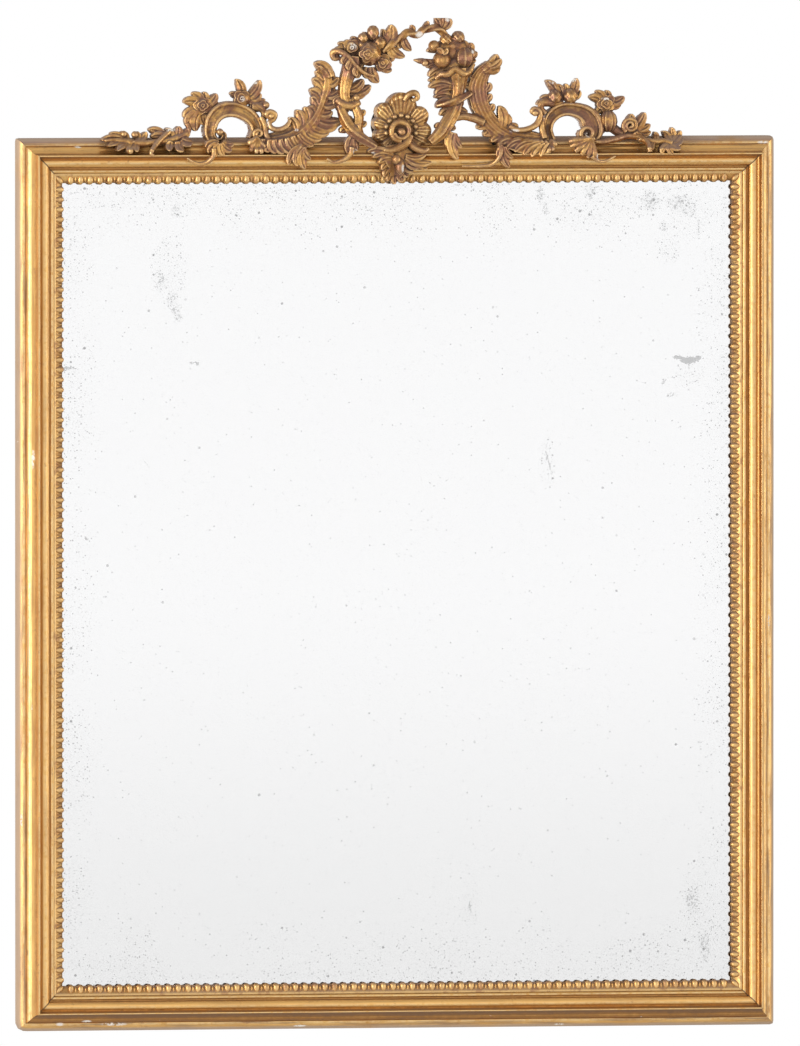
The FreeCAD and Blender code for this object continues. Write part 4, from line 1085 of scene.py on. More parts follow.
LEFT_LOBES = [
    (297, 131, 289.5, 117, 4.2, 31), (302, 127, 296.5, 109.5, 5.4, 31),
    (308, 121, 304.5, 106.5, 5.4, 31), (315, 112, 308.5, 107.5, 4.5, 30),
    (318, 106, 311.5, 96.5, 5, 30), (321, 98, 310, 89.5, 5.2, 30), (323, 88, 313, 78.5, 5.2, 30),
    (324, 79, 316, 71, 4.6, 31), (331, 76, 315, 62.5, 6, 34), (328, 84, 338.5, 76, 4.6, 30),
    (327, 95, 340, 89, 4.8, 30), (323, 104, 337.5, 99.5, 4.8, 30), (319, 112, 332.5, 110.5, 5, 30),
    (316, 117, 342.5, 119, 6.2, 30), (313, 121, 337, 125.5, 5.2, 30), (309, 126, 329, 132, 4.8, 31),
    (304, 130, 321.5, 138, 4.6, 32), (299, 133, 314, 144, 4.2, 34), (293, 135, 307, 148.5, 4, 37),
    (287, 137, 300, 151, 3.8, 39), (281, 138, 292, 152, 3.8, 39), (275, 138.5, 284, 152.5, 3.8, 39),
    (270, 138.5, 276.5, 152, 3.6, 39), (264, 138, 269.5, 151, 3.4, 37),
]


def left_wing(block):
    scroll(block, LEFT_SCROLL)
    ball(block, 220, 131.4, 29, 3.6)
    blade(block, LEFT_BLADE, flutes=3, body=0.58, lift=1.4)
    lobes(block, LEFT_LOBES)
    tube(block, [(270, 117.5, 30, 2), (266.5, 113.5, 31, 2.6), (270, 110.8, 31, 2.8),
                 (275, 113.5, 31, 2.8), (273.8, 118.5, 30, 2.4), (269.5, 121.5, 30, 2.6),
                 (271.5, 127, 32, 2.8), (279, 128.8, 33, 2.8), (286.5, 125.4, 33, 2.6),
                 (290.5, 118.5, 32, 1.6)])
    tube(block, [(261, 116, 27, 2.6), (265, 125, 28, 3.2), (266, 134, 30, 3.2), (270, 140, 32, 2.6)])
    ball(block, 271.2, 115, 31, 3.4)
    fan(block, (257, 136), [(248, 143.5), (251, 149.5), (256.5, 152.5), (262, 152.5), (266, 149)],
        level=35, radius=3)
    curl(block, 258.6, 133, 31, start=4.8, end=1, turns=1.4, radius=2, phase=2.2)


RIGHT_SCROLL = [
    (551, 139, 30, 5.4), (548.2, 128, 26, 5), (550.4, 117.5, 25, 6), (558, 110, 24.5, 6.8),
    (567, 107.4, 24, 7), (577, 108.4, 24, 7.6), (586.4, 112.6, 24.5, 9.2), (592.4, 120.5, 25, 11),
    (594.4, 130, 26, 9.4), (590, 137.4, 27, 6.4), (583.4, 136.6, 28, 4.4), (583, 131, 29, 3.2),
    (587.6, 130, 29, 2.4),
]
RIGHT_BLADE = [
    (549, 138.5, 29, 5, 9), (531, 139, 31, 10, 9), (513, 136, 31, 9, 8.5), (498.5, 128.5, 31, 9.5, 9),
    (487, 116, 31, 9, 9.5), (480, 101, 31, 9.5, 10), (477.5, 86, 31, 10.5, 10), (482, 73, 32, 8, 8.5),
    (491, 62, 34, 5, 4.4),
]
RIGHT_LOBES = [
    (548, 140, 541, 154.5, 4, 41), (544, 140, 532, 155, 4.4, 41), (540, 140, 524, 153, 4.4, 41),
    (533, 140, 515, 150, 4.4, 40), (524, 139, 507, 147.5, 4.2, 38), (513, 138, 499, 145, 4.2, 35),
    (503, 135.5, 491.5, 140, 4.2, 31), (496, 131, 484, 134, 4.2, 30), (489, 125, 477.5, 127, 4.2, 30),
    (483, 117, 472, 119, 4.4, 30), (480, 108, 471, 106, 4.4, 30), (478, 98, 466, 93, 4.6, 30),
    (477, 89, 464, 84, 4.6, 30), (480, 79, 469, 75, 4.6, 31), (485, 90, 490, 81, 3.8, 30),
    (484, 100, 491, 92, 3.6, 30), (488, 110, 493.5, 102, 3.6, 30), (502, 127, 499.6, 104.5, 5.2, 31),
    (506, 127, 506.5, 112, 4.2, 30), (514, 130, 513, 121.5, 4.2, 30), (485, 70, 497, 52.5, 5.4, 34),
    (489, 70, 499, 63, 4.6, 33), (490, 66, 501, 57, 4, 35),
]


def right_wing(block):
    scroll(block, RIGHT_SCROLL)
    blade(block, RIGHT_BLADE, flutes=5, body=0.88, lift=2)
    leaf(block, [(551, 146, 36, 5, 5), (537, 147, 37, 7, 6), (522, 145.5, 37, 6, 6),
                 (506, 141, 34, 4, 4)])
    lobes(block, RIGHT_LOBES, tilt=-1.0)
    tube(block, [(535.6, 113, 30, 1.8), (532, 110, 31, 2.4), (534.6, 106.8, 31, 2.6),
                 (539.4, 109.4, 31, 2.8), (540, 116, 30, 3), (535.6, 123.6, 30, 3.2),
                 (526.4, 127.8, 31, 3), (517, 128.2, 31, 2.8), (509.5, 124.4, 31, 2.4)])
    tube(block, [(543, 116, 27, 2.6), (542, 126, 28, 3.2), (545, 137, 31, 3.2)])
    tube(block, [(452, 117, 31, 4), (463, 114.8, 31, 4), (473, 116.6, 31, 4.2), (484, 121, 31, 4)])
    ball(block, 535.4, 111, 31, 3.6)
    curl(block, 588, 131.5, 29, start=8, end=3.4, turns=1.3, radius=2.8, phase=0.6)
    fan(block, (552, 138), [(543, 149), (548, 151), (553, 149), (556.5, 144)], level=35, radius=2.8)


# Lobes of the shell: direction in degrees, reach in pixels and half spread in degrees.
SHELL_CENTRE = (401, 129)
SHELL_LOBES = [
    (-2, 30.5, 22), (39, 33, 21), (87, 38, 26), (129, 33, 20), (162, 28, 17), (195, 26.5, 18),
    (228, 26, 20), (270, 25, 24), (312, 26, 24), (338, 28.5, 18),
]
SHELL_NOTCH = 0.17
SHELL_STEPS, SHELL_SPOKES = 22, 276
# Flutes and creases: number, depth in millimetres, and share of the reach where flutes begin to swell.
SHELL_FLUTES = 40
SHELL_FLUTE, SHELL_CREASE = 0.42, 2.6
FLUTE_START, FLUTE_SWELL = 0.35, 3
# Dish of the shell in millimetres: level of its middle, rise to the lip, fall of the lip, and the rise
# of a lobe for each pixel by which it is longer than the mean.
SHELL_LEVEL, SHELL_RISE, SHELL_BOWL = 33, 7, 1.5
LIP_FALL, LIP_START = 4, 0.88
LOBE_RISE, MEAN_REACH = 0.35, 29
SHELL_THICK = 18
# Pearls round the boss: number, reach, level, radius, and the share of a turn where they start and end.
PEARLS, PEARL_REACH, PEARL_LEVEL, PEARL_RADIUS = 9, 15, 36.6, 2.5
PEARL_START, PEARL_SWEEP = -0.03, 0.56


def shell_rim(angle):
    """Reach of the shell's rim in a direction in degrees, and how far towards a crease it lies."""
    found = (0, 0)
    for direction, radius, spread in SHELL_LOBES:
        away = ((angle - direction + 180) % 360 - 180) / spread
        found = max(found, (radius * (1 - SHELL_NOTCH * away * away), away * away))
    return found


def shell_level(share, angle, rim, crease):
    """Level of the shell's front at a share of its reach in a direction."""
    flute = math.cos(SHELL_FLUTES * angle) * min(1, max(0, (share - FLUTE_START) * FLUTE_SWELL))
    lip = LIP_FALL * max(0, share - LIP_START) / (1 - LIP_START)
    dish = SHELL_LEVEL + SHELL_RISE * share ** SHELL_BOWL - lip + LOBE_RISE * (rim - MEAN_REACH) * share
    return dish + SHELL_FLUTE * flute - SHELL_CREASE * min(1, crease) * share


def crest_shell(block):
    middle_x, middle_y = SHELL_CENTRE
    fronts = []
    for step in range(1, SHELL_STEPS + 1):
        share = step / SHELL_STEPS
        row = []
        for angle in around(SHELL_SPOKES):
            rim, crease = shell_rim(math.degrees(angle))
            x, y = middle_x + rim * share * math.cos(angle), middle_y - rim * share * math.sin(angle)
            row.append(spot(x, y, shell_level(share, angle, rim, crease)))
        fronts.append(row)
    block.dish(fronts, SHELL_THICK)
    tube(block, [(404, 99, 39, 2.4), (409, 93, 41, 3.2), (415.5, 91.6, 42, 3.2), (417.4, 96.5, 42, 2.6),
                 (412, 99, 41, 2)])
    for number in range(PEARLS):
        angle = TURN * (number / (PEARLS - 1) * PEARL_SWEEP + PEARL_START)
        ball(block, middle_x + PEARL_REACH * math.cos(angle), middle_y - PEARL_REACH * math.sin(angle),
             PEARL_LEVEL, PEARL_RADIUS)


def shell_boss(block):
    curl(block, 401, 129.5, 42, start=10.2, end=7, turns=1.2, radius=3.2, phase=TURN / 4)
    ball(block, 401.5, 130.5, 41, 4.6)
    tube(block, [(411, 134, 42, 3), (407.5, 141, 43, 3.8), (400, 146, 43, 4), (392, 149, 43, 3),
                 (384, 148.5, 43, 1.8)])
    tube(block, [(408, 140, 42, 2.4), (414, 146, 42, 3.2), (423, 149.5, 42, 3), (429, 147, 42, 1.6)])


PENDANT_LOBES = [
    (394, 155, 368, 150.5, 3.8, 43), (394, 156, 373, 156, 3.6, 43), (394, 158, 379, 162, 3.6, 43),
    (394, 160, 382, 168.5, 3.6, 41), (395, 163, 384, 175.5, 3.6, 37), (396, 168, 388, 180, 3.4, 32),
    (398, 170, 395, 183, 3.6, 30), (401, 170, 402, 181, 3.4, 31), (403, 167, 408.5, 175, 3.4, 34),
    (404, 163, 413.5, 169.5, 3.6, 38), (405, 159, 420, 165.5, 3.6, 42), (406, 156, 431.5, 160.5, 4, 43),
    (406, 154, 426, 152.5, 3.8, 43), (417, 160, 427.5, 167, 2.8, 41),
]


def shell_pendant(block):
    leaf(block, [(402, 142, 40, 15, 15), (400, 149, 42, 14, 13), (398, 156, 43, 12, 11),
                 (398, 165, 38, 8, 8), (396, 174, 32, 5, 5)], lean=0.45, thick=11)
    lobes(block, PENDANT_LOBES)
    ball(block, 396.6, 158, 46, 4.4, tall=1.1)
    ball(block, 400, 165, 43, 4.6, tall=1.8)


LEFT_HORN = [
    (345.5, 104, 30, 6.8), (344, 93, 30, 6), (345.6, 81, 30, 7), (349, 70, 31, 8), (351.5, 62, 32, 9.2),
    (352.5, 55, 32, 9.4),
]
LEFT_HORN_LOBES = [
    (343, 97, 334.5, 104, 4, 32), (346, 98, 340, 110, 4.4, 34), (349, 98, 348, 111, 4.4, 35),
    (352, 98, 356, 109.5, 4.4, 34), (353, 96, 361, 103, 3.8, 32), (349, 89, 363, 78, 5, 30),
    (350, 92, 370.5, 84, 5.2, 29), (351, 95, 366, 90, 4, 29), (348, 128, 341, 131.5, 3.6, 36),
    (352, 121, 343.5, 117, 4, 34), (358, 114, 364.5, 108.5, 3.4, 33), (359, 124, 366, 120, 3.4, 33),
    (353, 135, 351, 154, 4.6, 41), (356, 137, 358, 149, 3.6, 41),
]


def left_cornucopia(block):
    tube(block, LEFT_HORN, sides=28, steps=8, flutes=7, groove=0.06, twist=0.12, on_bed=False)
    tube(block, [(337, 99, 33, 3), (342, 103, 36, 3.6), (350, 105, 36, 3.8), (358, 102, 33, 3)])
    tube(block, [(340, 104, 33, 4), (343.5, 114, 35, 5.2), (349.5, 126, 38, 5.8), (360, 136, 40, 5.4),
                 (376, 146, 41, 3.4)], sides=22, flutes=5, groove=0.1, twist=0.35)
    tube(block, [(354, 104, 33, 4), (358.6, 115, 35, 4.8), (357.6, 127, 37, 4.8), (361, 135, 39, 3.6)],
         sides=22, flutes=5, groove=0.1)
    tube(block, [(340, 57, 34, 2), (334, 57, 34, 3), (333, 51.5, 34, 3.4), (338, 50, 37, 3.2),
                 (344, 52.5, 40, 2.8), (350, 57, 41.5, 2.4), (356, 64.5, 41.5, 2.2), (364, 71.5, 40, 2),
                 (374, 75, 37, 1.8)])
    lobes(block, [(349, 55, 343, 63, 3.6, 42), (353, 59, 349, 69, 3.8, 43),
                  (358, 65, 357, 75, 3.6, 42)])
    ball(block, 336, 54, 32, 3.8)
    lobes(block, LEFT_HORN_LOBES)
    ball(block, 356.4, 96.5, 33, 3.6)
    tube(block, [(352, 146, 42, 3.2), (350, 153.5, 42, 2.8), (343, 159, 41, 2.2), (334, 161, 39, 1.7),
                 (327, 157.5, 40, 1)])


RIGHT_HORN = [
    (456, 102, 30, 7.6), (457.5, 91, 30, 7), (458, 81, 30, 8.4), (458, 72, 31, 10.8),
    (457.5, 67, 31, 11.2),
]
RIGHT_HORN_LOBES = [
    (452, 82, 429.5, 79.5, 4.6, 33), (452, 84, 430, 86, 4.8, 34), (452, 87, 436, 93, 4.4, 33),
    (453, 96, 435, 96, 4, 32), (452, 99, 437, 106.5, 4.2, 33), (455, 108, 441, 114, 4, 34),
    (458, 106, 468, 110, 4, 32), (448, 121, 456, 127, 3.8, 36), (445, 125, 436, 126.5, 3.8, 37),
    (452, 130, 450, 148, 3.8, 42), (454, 131, 458, 157.5, 5, 43), (455, 132, 462, 146, 3.8, 42),
]


def right_cornucopia(block):
    tube(block, RIGHT_HORN, sides=36, steps=8, flutes=9, groove=0.06, on_bed=False)
    tube(block, [(436, 77, 33, 2.4), (441, 73, 37, 3), (448, 72.5, 40, 3.2), (455, 67.5, 41, 3.4),
                 (463, 72, 41, 3.4), (469, 70, 37, 3.2), (473.5, 62, 33, 2.2)])
    tube(block, [(437, 103.5, 32, 2.8), (447, 102, 37, 3.6), (458, 98.5, 38, 3.8), (471, 92, 33, 2.8)],
         flutes=3, groove=0.16, twist=0.5, sides=18)
    tube(block, [(458, 100, 31, 6), (453.5, 111, 34, 7), (447, 122, 37, 7), (440, 132, 40, 6.2),
                 (430, 140.5, 41, 4)], sides=24, flutes=6, groove=0.1, twist=0.3)
    lobes(block, RIGHT_HORN_LOBES)


BOUQUET_LOBES = [
    (350, 52, 335.5, 49, 3.6, 33), (350, 50, 339, 42.5, 4, 33), (355, 44, 352, 36, 4, 31),
    (384, 48, 391.5, 23.5, 6.4, 34), (382, 48, 383, 28, 4, 32), (372, 66, 379, 81, 5, 34),
    (368, 66, 370, 77, 4.2, 34), (362, 62, 358.5, 77, 5, 34), (366, 42, 364, 31, 3.4, 31),
    (382, 64, 392, 68.5, 4, 33), (384, 56, 395, 55.5, 3.8, 32),
]


def rose_bouquet(block):
    tube(block, [(352, 60, 24, 7), (360, 50, 23, 9), (370, 47, 23, 10), (379, 51, 23, 9),
                 (378, 62, 24, 7)], on_bed=False)
    lobes(block, BOUQUET_LOBES)
    ball(block, 369, 52.5, 33, 12, bumps=5, bump=0.09)
    rose(block, 368, 53, 43, 9, rise=6, thick=8)
    rose(block, 352, 46.5, 35, 9.6, petals=4, rise=6, thick=9)
    ball(block, 363, 37, 33, 5.4, bumps=6, bump=0.06)
    ball(block, 373, 31.5, 34, 6.2, tall=1.2, bumps=6, bump=0.05)
    ball(block, 381, 41.5, 34, 5)
    rose(block, 383, 61.5, 34, 9.4, petals=4, rise=6, phase=0.8, thick=10)
    ball(block, 379, 42, 32, 7, bumps=6, bump=0.07)
    ball(block, 362, 45, 31, 6, bumps=6, bump=0.07)


FRUIT_LOBES = [
    (463, 52, 464, 39, 4.4, 34), (465, 52, 471.5, 41, 4.6, 35), (467, 54, 477, 50, 4.2, 34),
    (467, 57, 476, 58, 3.6, 33), (446, 66, 427.5, 66, 4, 33), (446, 68, 429.5, 75, 4.2, 34),
    (447, 69, 438, 78.5, 3.8, 34), (440, 50, 428, 50, 3.4, 31),
]


def fruit_cluster(block):
    tube(block, [(437, 50, 28, 7), (447, 45, 28, 9), (458, 46, 28, 9.5), (464, 58, 28, 9.5),
                 (453, 64, 28, 10), (442, 64, 28, 8)], on_bed=False)
    ball(block, 451, 51, 29, 9)
    lobes(block, FRUIT_LOBES)
    ball(block, 434, 44.5, 34, 5.8)
    ball(block, 446, 38.5, 33, 6.4, bumps=7, bump=0.07)
    ball(block, 458, 36, 33, 6.8, bumps=7, bump=0.06)
    ball(block, 452, 45, 33, 5.4)
    ball(block, 442, 58.5, 34, 9.4, tall=0.95, flutes=5, groove=0.03)
    lobe(block, 443, 52, 437, 47.5, 2.8, 44)
    lobe(block, 443, 52, 447, 46.5, 2.8, 44)
    ball(block, 463.5, 56, 34, 10, tall=1.05, flutes=8, groove=0.045)
    ball(block, 470, 53, 33, 6.6)
    ball(block, 453, 65, 34, 5)
    ball(block, 452, 54, 32, 5)
    tube(block, [(436, 60, 31, 2.4), (427, 60, 32, 2.8), (420, 59.6, 32, 3), (413.5, 58.6, 32, 0.8)],
         on_bed=False)
    ball(block, 425, 61.5, 34.5, 3.6)


GARLAND_LOBES = [
    (404, 36, 411.5, 49, 4, 33), (400, 38, 401, 47, 3.2, 32), (391, 45, 405, 55, 4.4, 33),
    (390, 46, 396, 56.5, 4, 33), (422, 29, 428, 19.5, 3, 32), (413, 31, 411, 24, 2.8, 32),
    (440, 27, 435, 16.5, 4, 32), (442, 26, 443.5, 13, 4, 33), (443, 27, 450.5, 17, 3.8, 33),
]


def garland(block):
    tube(block, [(382, 50, 32, 3.2), (390, 44, 33, 3.8), (398, 38, 33, 3.6), (407, 31.5, 33, 3.8),
                 (417, 33, 33, 3.6), (424, 28.5, 33, 3.6), (433, 26.5, 33, 3.6), (441, 29, 32, 3.8),
                 (447, 38, 31, 3.2)], sides=20, steps=8, flutes=3, groove=0.18, twist=0.5, on_bed=False)
    lobes(block, GARLAND_LOBES, thick=7)


LEFT_OUTER_LOBES = [
    (203, 106, 184, 101.5, 5.2, 21), (203, 105, 192.5, 93, 5, 21), (203, 104, 204, 91.5, 4.6, 20),
    (204, 105, 216.5, 93, 5, 21), (204, 107, 219, 102, 4.6, 21), (200, 110, 184.5, 117, 5, 19),
    (200, 111, 188, 126, 5.6, 20), (201, 111, 196.5, 130.5, 5.8, 20), (203, 111, 205, 124, 4.6, 19),
]


def left_outer_flower(block):
    ball(block, 203, 107, 12, 9)
    lobes(block, LEFT_OUTER_LOBES)
    rose(block, 203, 105, 22, 9.6, rise=7, thick=12)
    tube(block, [(202, 112, 14, 4.4), (207, 117, 15, 4.4), (212, 122, 17, 4)])


LEFT_INNER_LOBES = [
    (242, 98, 236.5, 79, 4.6, 20), (246, 98, 260, 79.5, 4.8, 20), (240, 99, 230.5, 93, 3.6, 19),
    (248, 99, 261, 93, 4.6, 20), (250, 101, 265, 98.5, 4.4, 20), (251, 104, 262, 107, 4.4, 20),
]


def left_inner_flower(block):
    lobes(block, LEFT_INNER_LOBES)
    ball(block, 242, 98, 18, 8.4)
    rose(block, 242, 97.5, 23, 8.8, petals=4, rise=6, thick=10)
    ball(block, 265.8, 104.5, 20, 3.8)
    tube(block, [(252, 106, 18, 5), (260, 107, 19, 4.4), (264, 112, 20, 3.4), (263.5, 120, 21, 3.2)])


RIGHT_OUTER_LOBES = [
    (605, 102, 590, 95.5, 4.6, 21), (605, 101, 596.5, 89.5, 4.6, 21), (607, 100, 607, 88.5, 4, 20),
    (609, 101, 624.5, 94.5, 4.6, 21), (609, 103, 621, 101, 4.4, 20), (606, 106, 597.5, 112, 4, 20),
]


def right_outer_flower(block):
    ball(block, 607, 103, 12, 9)
    lobes(block, RIGHT_OUTER_LOBES)
    rose(block, 607, 101.5, 22, 10, rise=7, phase=0.5, thick=12)
    ball(block, 608.6, 119.5, 19, 9, tall=1.2, flutes=9, groove=0.07)
    tube(block, [(610, 124, 17, 5), (617, 129, 17, 5), (623, 132, 18, 4.4)])
    lobe(block, 606, 126, 600, 133, 3.6, 20)


RIGHT_INNER_LOBES = [
    (558, 97, 546.5, 79, 4.6, 20), (561, 97, 558, 82.5, 4, 20), (564, 97, 566, 82, 4, 20),
    (566, 97, 577, 76.5, 4.6, 20), (573, 97, 580, 88.5, 3.6, 19), (556, 101, 541.5, 96.5, 4, 20),
    (555, 103, 537.5, 103, 4.4, 21),
]


def right_inner_flower(block):
    lobes(block, RIGHT_INNER_LOBES)
    ball(block, 555, 95.5, 20, 7.2, bumps=6, bump=0.06)
    ball(block, 570.5, 94.5, 20, 7.6, bumps=6, bump=0.06)
    tube(block, [(562, 103, 18, 5), (552, 101, 20, 4.6), (543.5, 101, 22, 4), (541, 106.5, 22, 3.4),
                 (545.5, 112, 22, 3.2)])


LEFT_SPRAY_LOBES = [
    (128, 142, 102.5, 140, 3.4, 22), (127, 141, 111, 133.5, 3, 21), (127, 143, 109, 146, 3, 25),
    (128, 141, 121.5, 132, 3.4, 21), (130, 144, 118, 150.5, 3, 28), (136, 142, 130, 153, 4, 30),
    (138, 142, 138.5, 151, 3.2, 30), (137, 140, 136.5, 131.5, 3.4, 21),
    (139, 140, 146.5, 131.5, 3.4, 21), (166, 138, 149.5, 129.5, 4.6, 23),
    (168, 139, 152, 136.5, 4.4, 25), (171, 139, 166, 128.5, 4.6, 23), (175, 138, 178.5, 126, 5, 23),
    (180, 138, 188, 128, 4.4, 23), (182, 139, 193.5, 141, 4.6, 27), (178, 141, 184, 150.5, 4, 30),
    (172, 141, 171, 150, 4, 30),
]


def left_spray(block):
    tube(block, [(105, 140.5, 21, 1.2), (115, 140, 22, 2.2), (128, 141.5, 23, 3), (142, 143, 24, 3),
                 (158, 141.5, 24, 3.2), (175, 138.5, 23, 3.4), (188, 131.5, 20, 3),
                 (187, 123, 19, 2.4)])
    lobes(block, LEFT_SPRAY_LOBES, thick=12)
    ball(block, 124, 134, 21, 3.4)
    ball(block, 135, 134.5, 21, 3.6)
    ball(block, 131, 150.5, 33, 2.8)
    tube(block, [(170, 131, 24, 2.4), (162, 138, 28, 2.6), (155, 146, 33, 2.6), (151.5, 152.5, 36, 2.2),
                 (154, 155, 37, 1.4)])


RIGHT_SPRAY_LOBES = [
    (624, 131, 632, 112, 5.4, 21), (626, 130, 645.5, 110.5, 5.4, 21), (630, 128, 643.5, 119.5, 4.4, 21),
    (636, 128, 650.5, 122, 4, 21), (636, 129, 651.5, 129.5, 4, 21), (636, 130, 644, 136, 3.8, 25),
    (671, 141, 663.5, 129.5, 3.4, 21), (671, 140, 672.5, 125.5, 3.4, 21),
    (671, 140, 681.5, 128.5, 3.4, 21), (671, 141, 684, 137, 3.2, 23), (671, 142, 681.5, 146, 3.2, 27),
    (670, 142, 674, 152, 3.4, 31), (669, 142, 662.5, 151.5, 3.4, 31), (656, 139, 655.5, 130, 3, 21),
    (655, 140, 652, 149.5, 3, 29),
]


def right_spray(block):
    curl(block, 631, 123.5, 23, start=7.8, end=1.2, turns=2, radius=2.4, phase=2.2)
    lobes(block, RIGHT_SPRAY_LOBES, thick=12)
    tube(block, [(594, 139.5, 18, 1), (603, 140, 21, 2.6), (616, 137, 22, 3.4), (628, 134, 22, 3.2),
                 (640, 135.5, 24, 3), (648, 141, 27, 2.8), (650.5, 149.5, 31, 2.2)])
    tube(block, [(640, 137, 22, 2.6), (655, 139.5, 23, 2.8), (664, 139, 23, 3), (673, 141, 24, 2.6)])


def left_tendril(block):
    lobes(block, [(303, 145, 289, 164, 4.6, 40), (303, 146, 297.5, 165, 4.6, 41),
                  (304, 147, 305.5, 167.5, 4.6, 40), (304, 146, 311, 158, 3.6, 40)], thick=8)


def left_hook_leaf(block):
    lobes(block, [(219, 142, 206, 146.5, 3.6, 36), (219, 143, 209, 152.5, 3.8, 39),
                  (220, 143, 216.5, 156, 3.8, 40), (221, 143, 224.5, 154.5, 3.8, 40),
                  (222, 142, 232, 150, 3.8, 39), (223, 141, 234, 143.5, 3.6, 37)])
    tube(block, [(214, 148, 40, 2.8), (213.5, 155, 41, 2.6), (208, 161, 38, 2.3), (200, 163, 36, 1.9),
                 (193, 161, 36, 1.4), (187.5, 157.5, 38, 0.8)])


def right_tendril(block):
    tube(block, [(500, 142, 36, 3.2), (501, 149, 40, 2.8), (498.5, 157, 40, 2.4), (491, 163, 36, 2),
                 (478, 164.5, 34, 1.4), (462, 164.5, 33, 1)])
    lobes(block, [(503, 144, 502, 160, 4, 40), (504, 145, 510, 165.5, 4.4, 40),
                  (505, 145, 513.5, 156, 3.4, 40)], thick=8)


def right_hook_leaf(block):
    fan(block, (592, 136), [(569, 139.5), (570.5, 144.5), (575, 149.5), (581.5, 153), (588.5, 155.5),
                            (596, 158)], level=38, radius=3.4, lift=2)
    tube(block, [(592, 154, 41, 2.2), (599, 159, 39, 1.8), (607, 158.6, 37, 1.4), (616, 154, 38, 0.8)])


# Plate, silvering and keys

# Gap between the plate and its silvering in millimetres, and the share to which the keys are planed.
FOIL_GAP = 0.05
KEY_TRIM = 0.999


def sheet(node, back_gap, material):
    """A flat sheet in the box of its node."""
    low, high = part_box(node)
    corners = ((low.x, low.z), (high.x, low.z), (high.x, high.z), (low.x, high.z))
    block = Block()
    block.rings([[Vector((x, y, z)) for x, z in corners] for y in (low.y, high.y - back_gap * MM)])
    dress(new_piece(node + "_sheet", block.points, block.faces, False), material, [node])


def trimmed_keys():
    """The corner keys, planed flush with the worn corners."""
    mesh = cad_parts["corner_keys"].data.copy()
    for vertex in mesh.vertices:
        vertex.co = worn_corner(vertex.co * KEY_TRIM)
    dress(new_object("corner_keys_trimmed", mesh), slat_wood, ["corner_keys"])


# Materials in use, and the pieces that wear them

rail_gilding = moulding_gilding("rail_gilding")
bead_gilding = carved_gilding("bead_gilding", (GOLD_LEAF, GOLD_DEEP, GOLD_DEEP, BEAD_WORN_HIGHLIGHT), 0.6, False)
carving_gilding = carved_gilding("carving_gilding", (CARVED_LEAF, CARVED_DEEP, COPPER, CARVED_WORN_HIGHLIGHT), 0.85)
shell_gilding = carved_gilding("shell_gilding", (SHELL_LEAF, SHELL_DEEP, CARVED_DEEP, SHELL_WORN_HIGHLIGHT), 0.8)
glass = plate_glass("old_plate_glass")
foil = aged_silvering("aged_silvering")
board_wood = old_wood("backboard_wood", BOARD_LIGHT, BOARD_DARK, "x")
slat_wood = old_wood("slat_wood", SLAT_LIGHT, SLAT_DARK, "z")
iron = forged_iron("forged_iron")

# Nodes that keep the shape of their solid.
KEPT_NODES = [
    (board_wood, ("lower_backboard", "middle_backboard", "upper_backboard", "glazing_blocks")),
    (slat_wood, ("left_brace", "right_brace")),
    (iron, ("backboard_nails", "brace_screws", "hanger_plate", "hanger_screws", "hanging_ring")),
]
for material, nodes in KEPT_NODES:
    for node in nodes:
        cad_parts[node].data.materials.clear()
        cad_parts[node].data.materials.append(material)

FRAME_NODES = {"top": "top_rail", "bottom": "bottom_rail", "left": "left_stile", "right": "right_stile"}
for side, node in FRAME_NODES.items():
    moulded_side(side, node)
    bead_slip(side)
sheet("mirror_plate", FOIL_GAP, glass)
sheet("silvering", 0, foil)
trimmed_keys()
for wing in (left_wing, right_wing):
    carve(wing, WING_VOXEL, carving_gilding)
carve(crest_shell, VOXEL, shell_gilding)
for shapes in (shell_boss, shell_pendant, left_cornucopia, right_cornucopia, rose_bouquet, fruit_cluster,
               garland, left_outer_flower, left_inner_flower, right_outer_flower, right_inner_flower,
               left_spray, right_spray, left_tendril, left_hook_leaf, right_tendril, right_hook_leaf):
    carve(shapes, VOXEL, carving_gilding)


# Stage, light and camera

# Reach and level of the floor in metres.
FLOOR_REACH, FLOOR_LEVEL, FLOOR_SIDES = 1.6, -1.3, 96
FLOOR_ROUGHNESS = 0.8
# How the light of the room falls off: axis, start and end of the fall, light before and after it.
ROOM_FALLS = [(2, 0.15, 0.85, 1.0, 0.52), (2, -0.15, -0.85, 1.0, 0.36), (0, 0.3, 1.0, 1.0, 0.78)]
# Lamps: name, place, width and height in metres, and power in watts.
LAMPS = [
    ("left_softbox", (-2.4, -1.6, 0.3), 1.2, 2.2, 40),
    ("right_softbox", (2.6, -1.4, 0.3), 1.0, 2.0, 14),
]


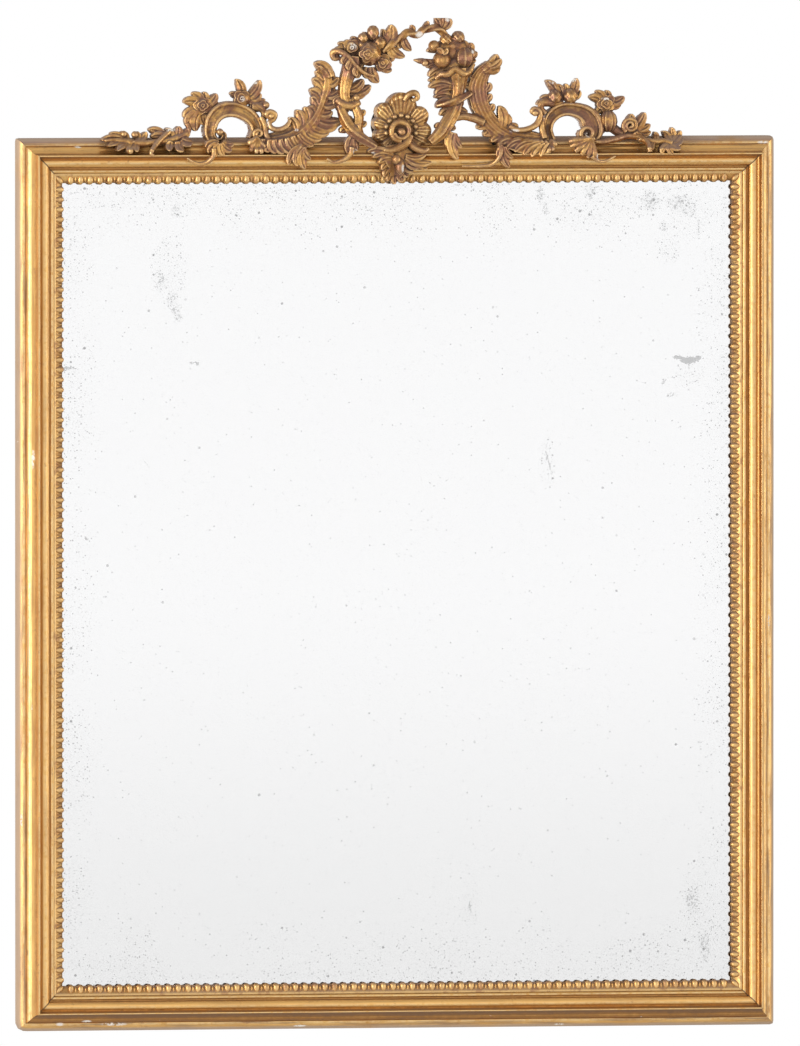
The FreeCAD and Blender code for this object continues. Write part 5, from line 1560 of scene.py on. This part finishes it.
def studio_floor():
    """Pale floor well below the hung mirror."""
    rim = []
    for angle in around(FLOOR_SIDES):
        rim.append(Vector((FLOOR_REACH * math.cos(angle), FLOOR_REACH * math.sin(angle), FLOOR_LEVEL)))
    floor = new_piece("studio_floor", rim, [tuple(range(FLOOR_SIDES))], False)
    shader = Shader("studio_floor")
    shader.set("Base Color", shader.mix(shader.noise(3, 2), *FLOOR_TONES))
    shader.set("Roughness", FLOOR_ROUGHNESS)
    floor.data.materials.append(shader.material)


def studio_world():
    """White background, and a soft room whose ceiling and floor are darker than its walls."""
    world = bpy.data.worlds.new("studio")
    world.use_nodes = True
    nodes = Nodes(world.node_tree)
    axes = nodes.value("ShaderNodeTexCoord", "Generated").split()
    upward, downward, sideward = (axes[axis].ramp(*fall) for axis, *fall in ROOM_FALLS)
    room = nodes.value("ShaderNodeBackground", 0, {"Color": upward * downward * sideward, "Strength": 1})
    white = nodes.value("ShaderNodeBackground", 0, {"Color": WHITE, "Strength": 1})
    seen = nodes.value("ShaderNodeLightPath", "Is Camera Ray")
    nodes.node("ShaderNodeOutputWorld", (nodes.value("ShaderNodeMixShader", 0, (seen, room, white)),))
    bpy.context.scene.world = world


def soft_light(name, place, wide, tall, power):
    lamp = bpy.data.lights.new(name, "AREA")
    lamp.shape = "RECTANGLE"
    lamp.size, lamp.size_y, lamp.energy = wide, tall, power
    holder = new_object(name, lamp)
    holder.location = place
    holder.rotation_euler = (VIEW_TARGET - holder.location).to_track_quat("-Z", "Y").to_euler()


def photo_camera():
    lens = bpy.data.cameras.new("photo_camera")
    lens.sensor_width = SENSOR
    lens.lens = SENSOR * VIEW_DISTANCE / IMAGE_HEIGHT
    lens.clip_end = 4 * VIEW_DISTANCE
    camera = new_object("photo_camera", lens)
    level = math.cos(VIEW_PITCH)
    towards = Vector((-math.sin(VIEW_YAW) * level, -math.cos(VIEW_YAW) * level, math.sin(VIEW_PITCH)))
    camera.location = VIEW_TARGET + towards * VIEW_DISTANCE
    camera.rotation_euler = (-towards).to_track_quat("-Z", "Y").to_euler()
    bpy.context.scene.camera = camera


studio_floor()
studio_world()
for lamp_row in LAMPS:
    soft_light(*lamp_row)
photo_camera()
bpy.context.scene.view_settings.view_transform = "Standard"
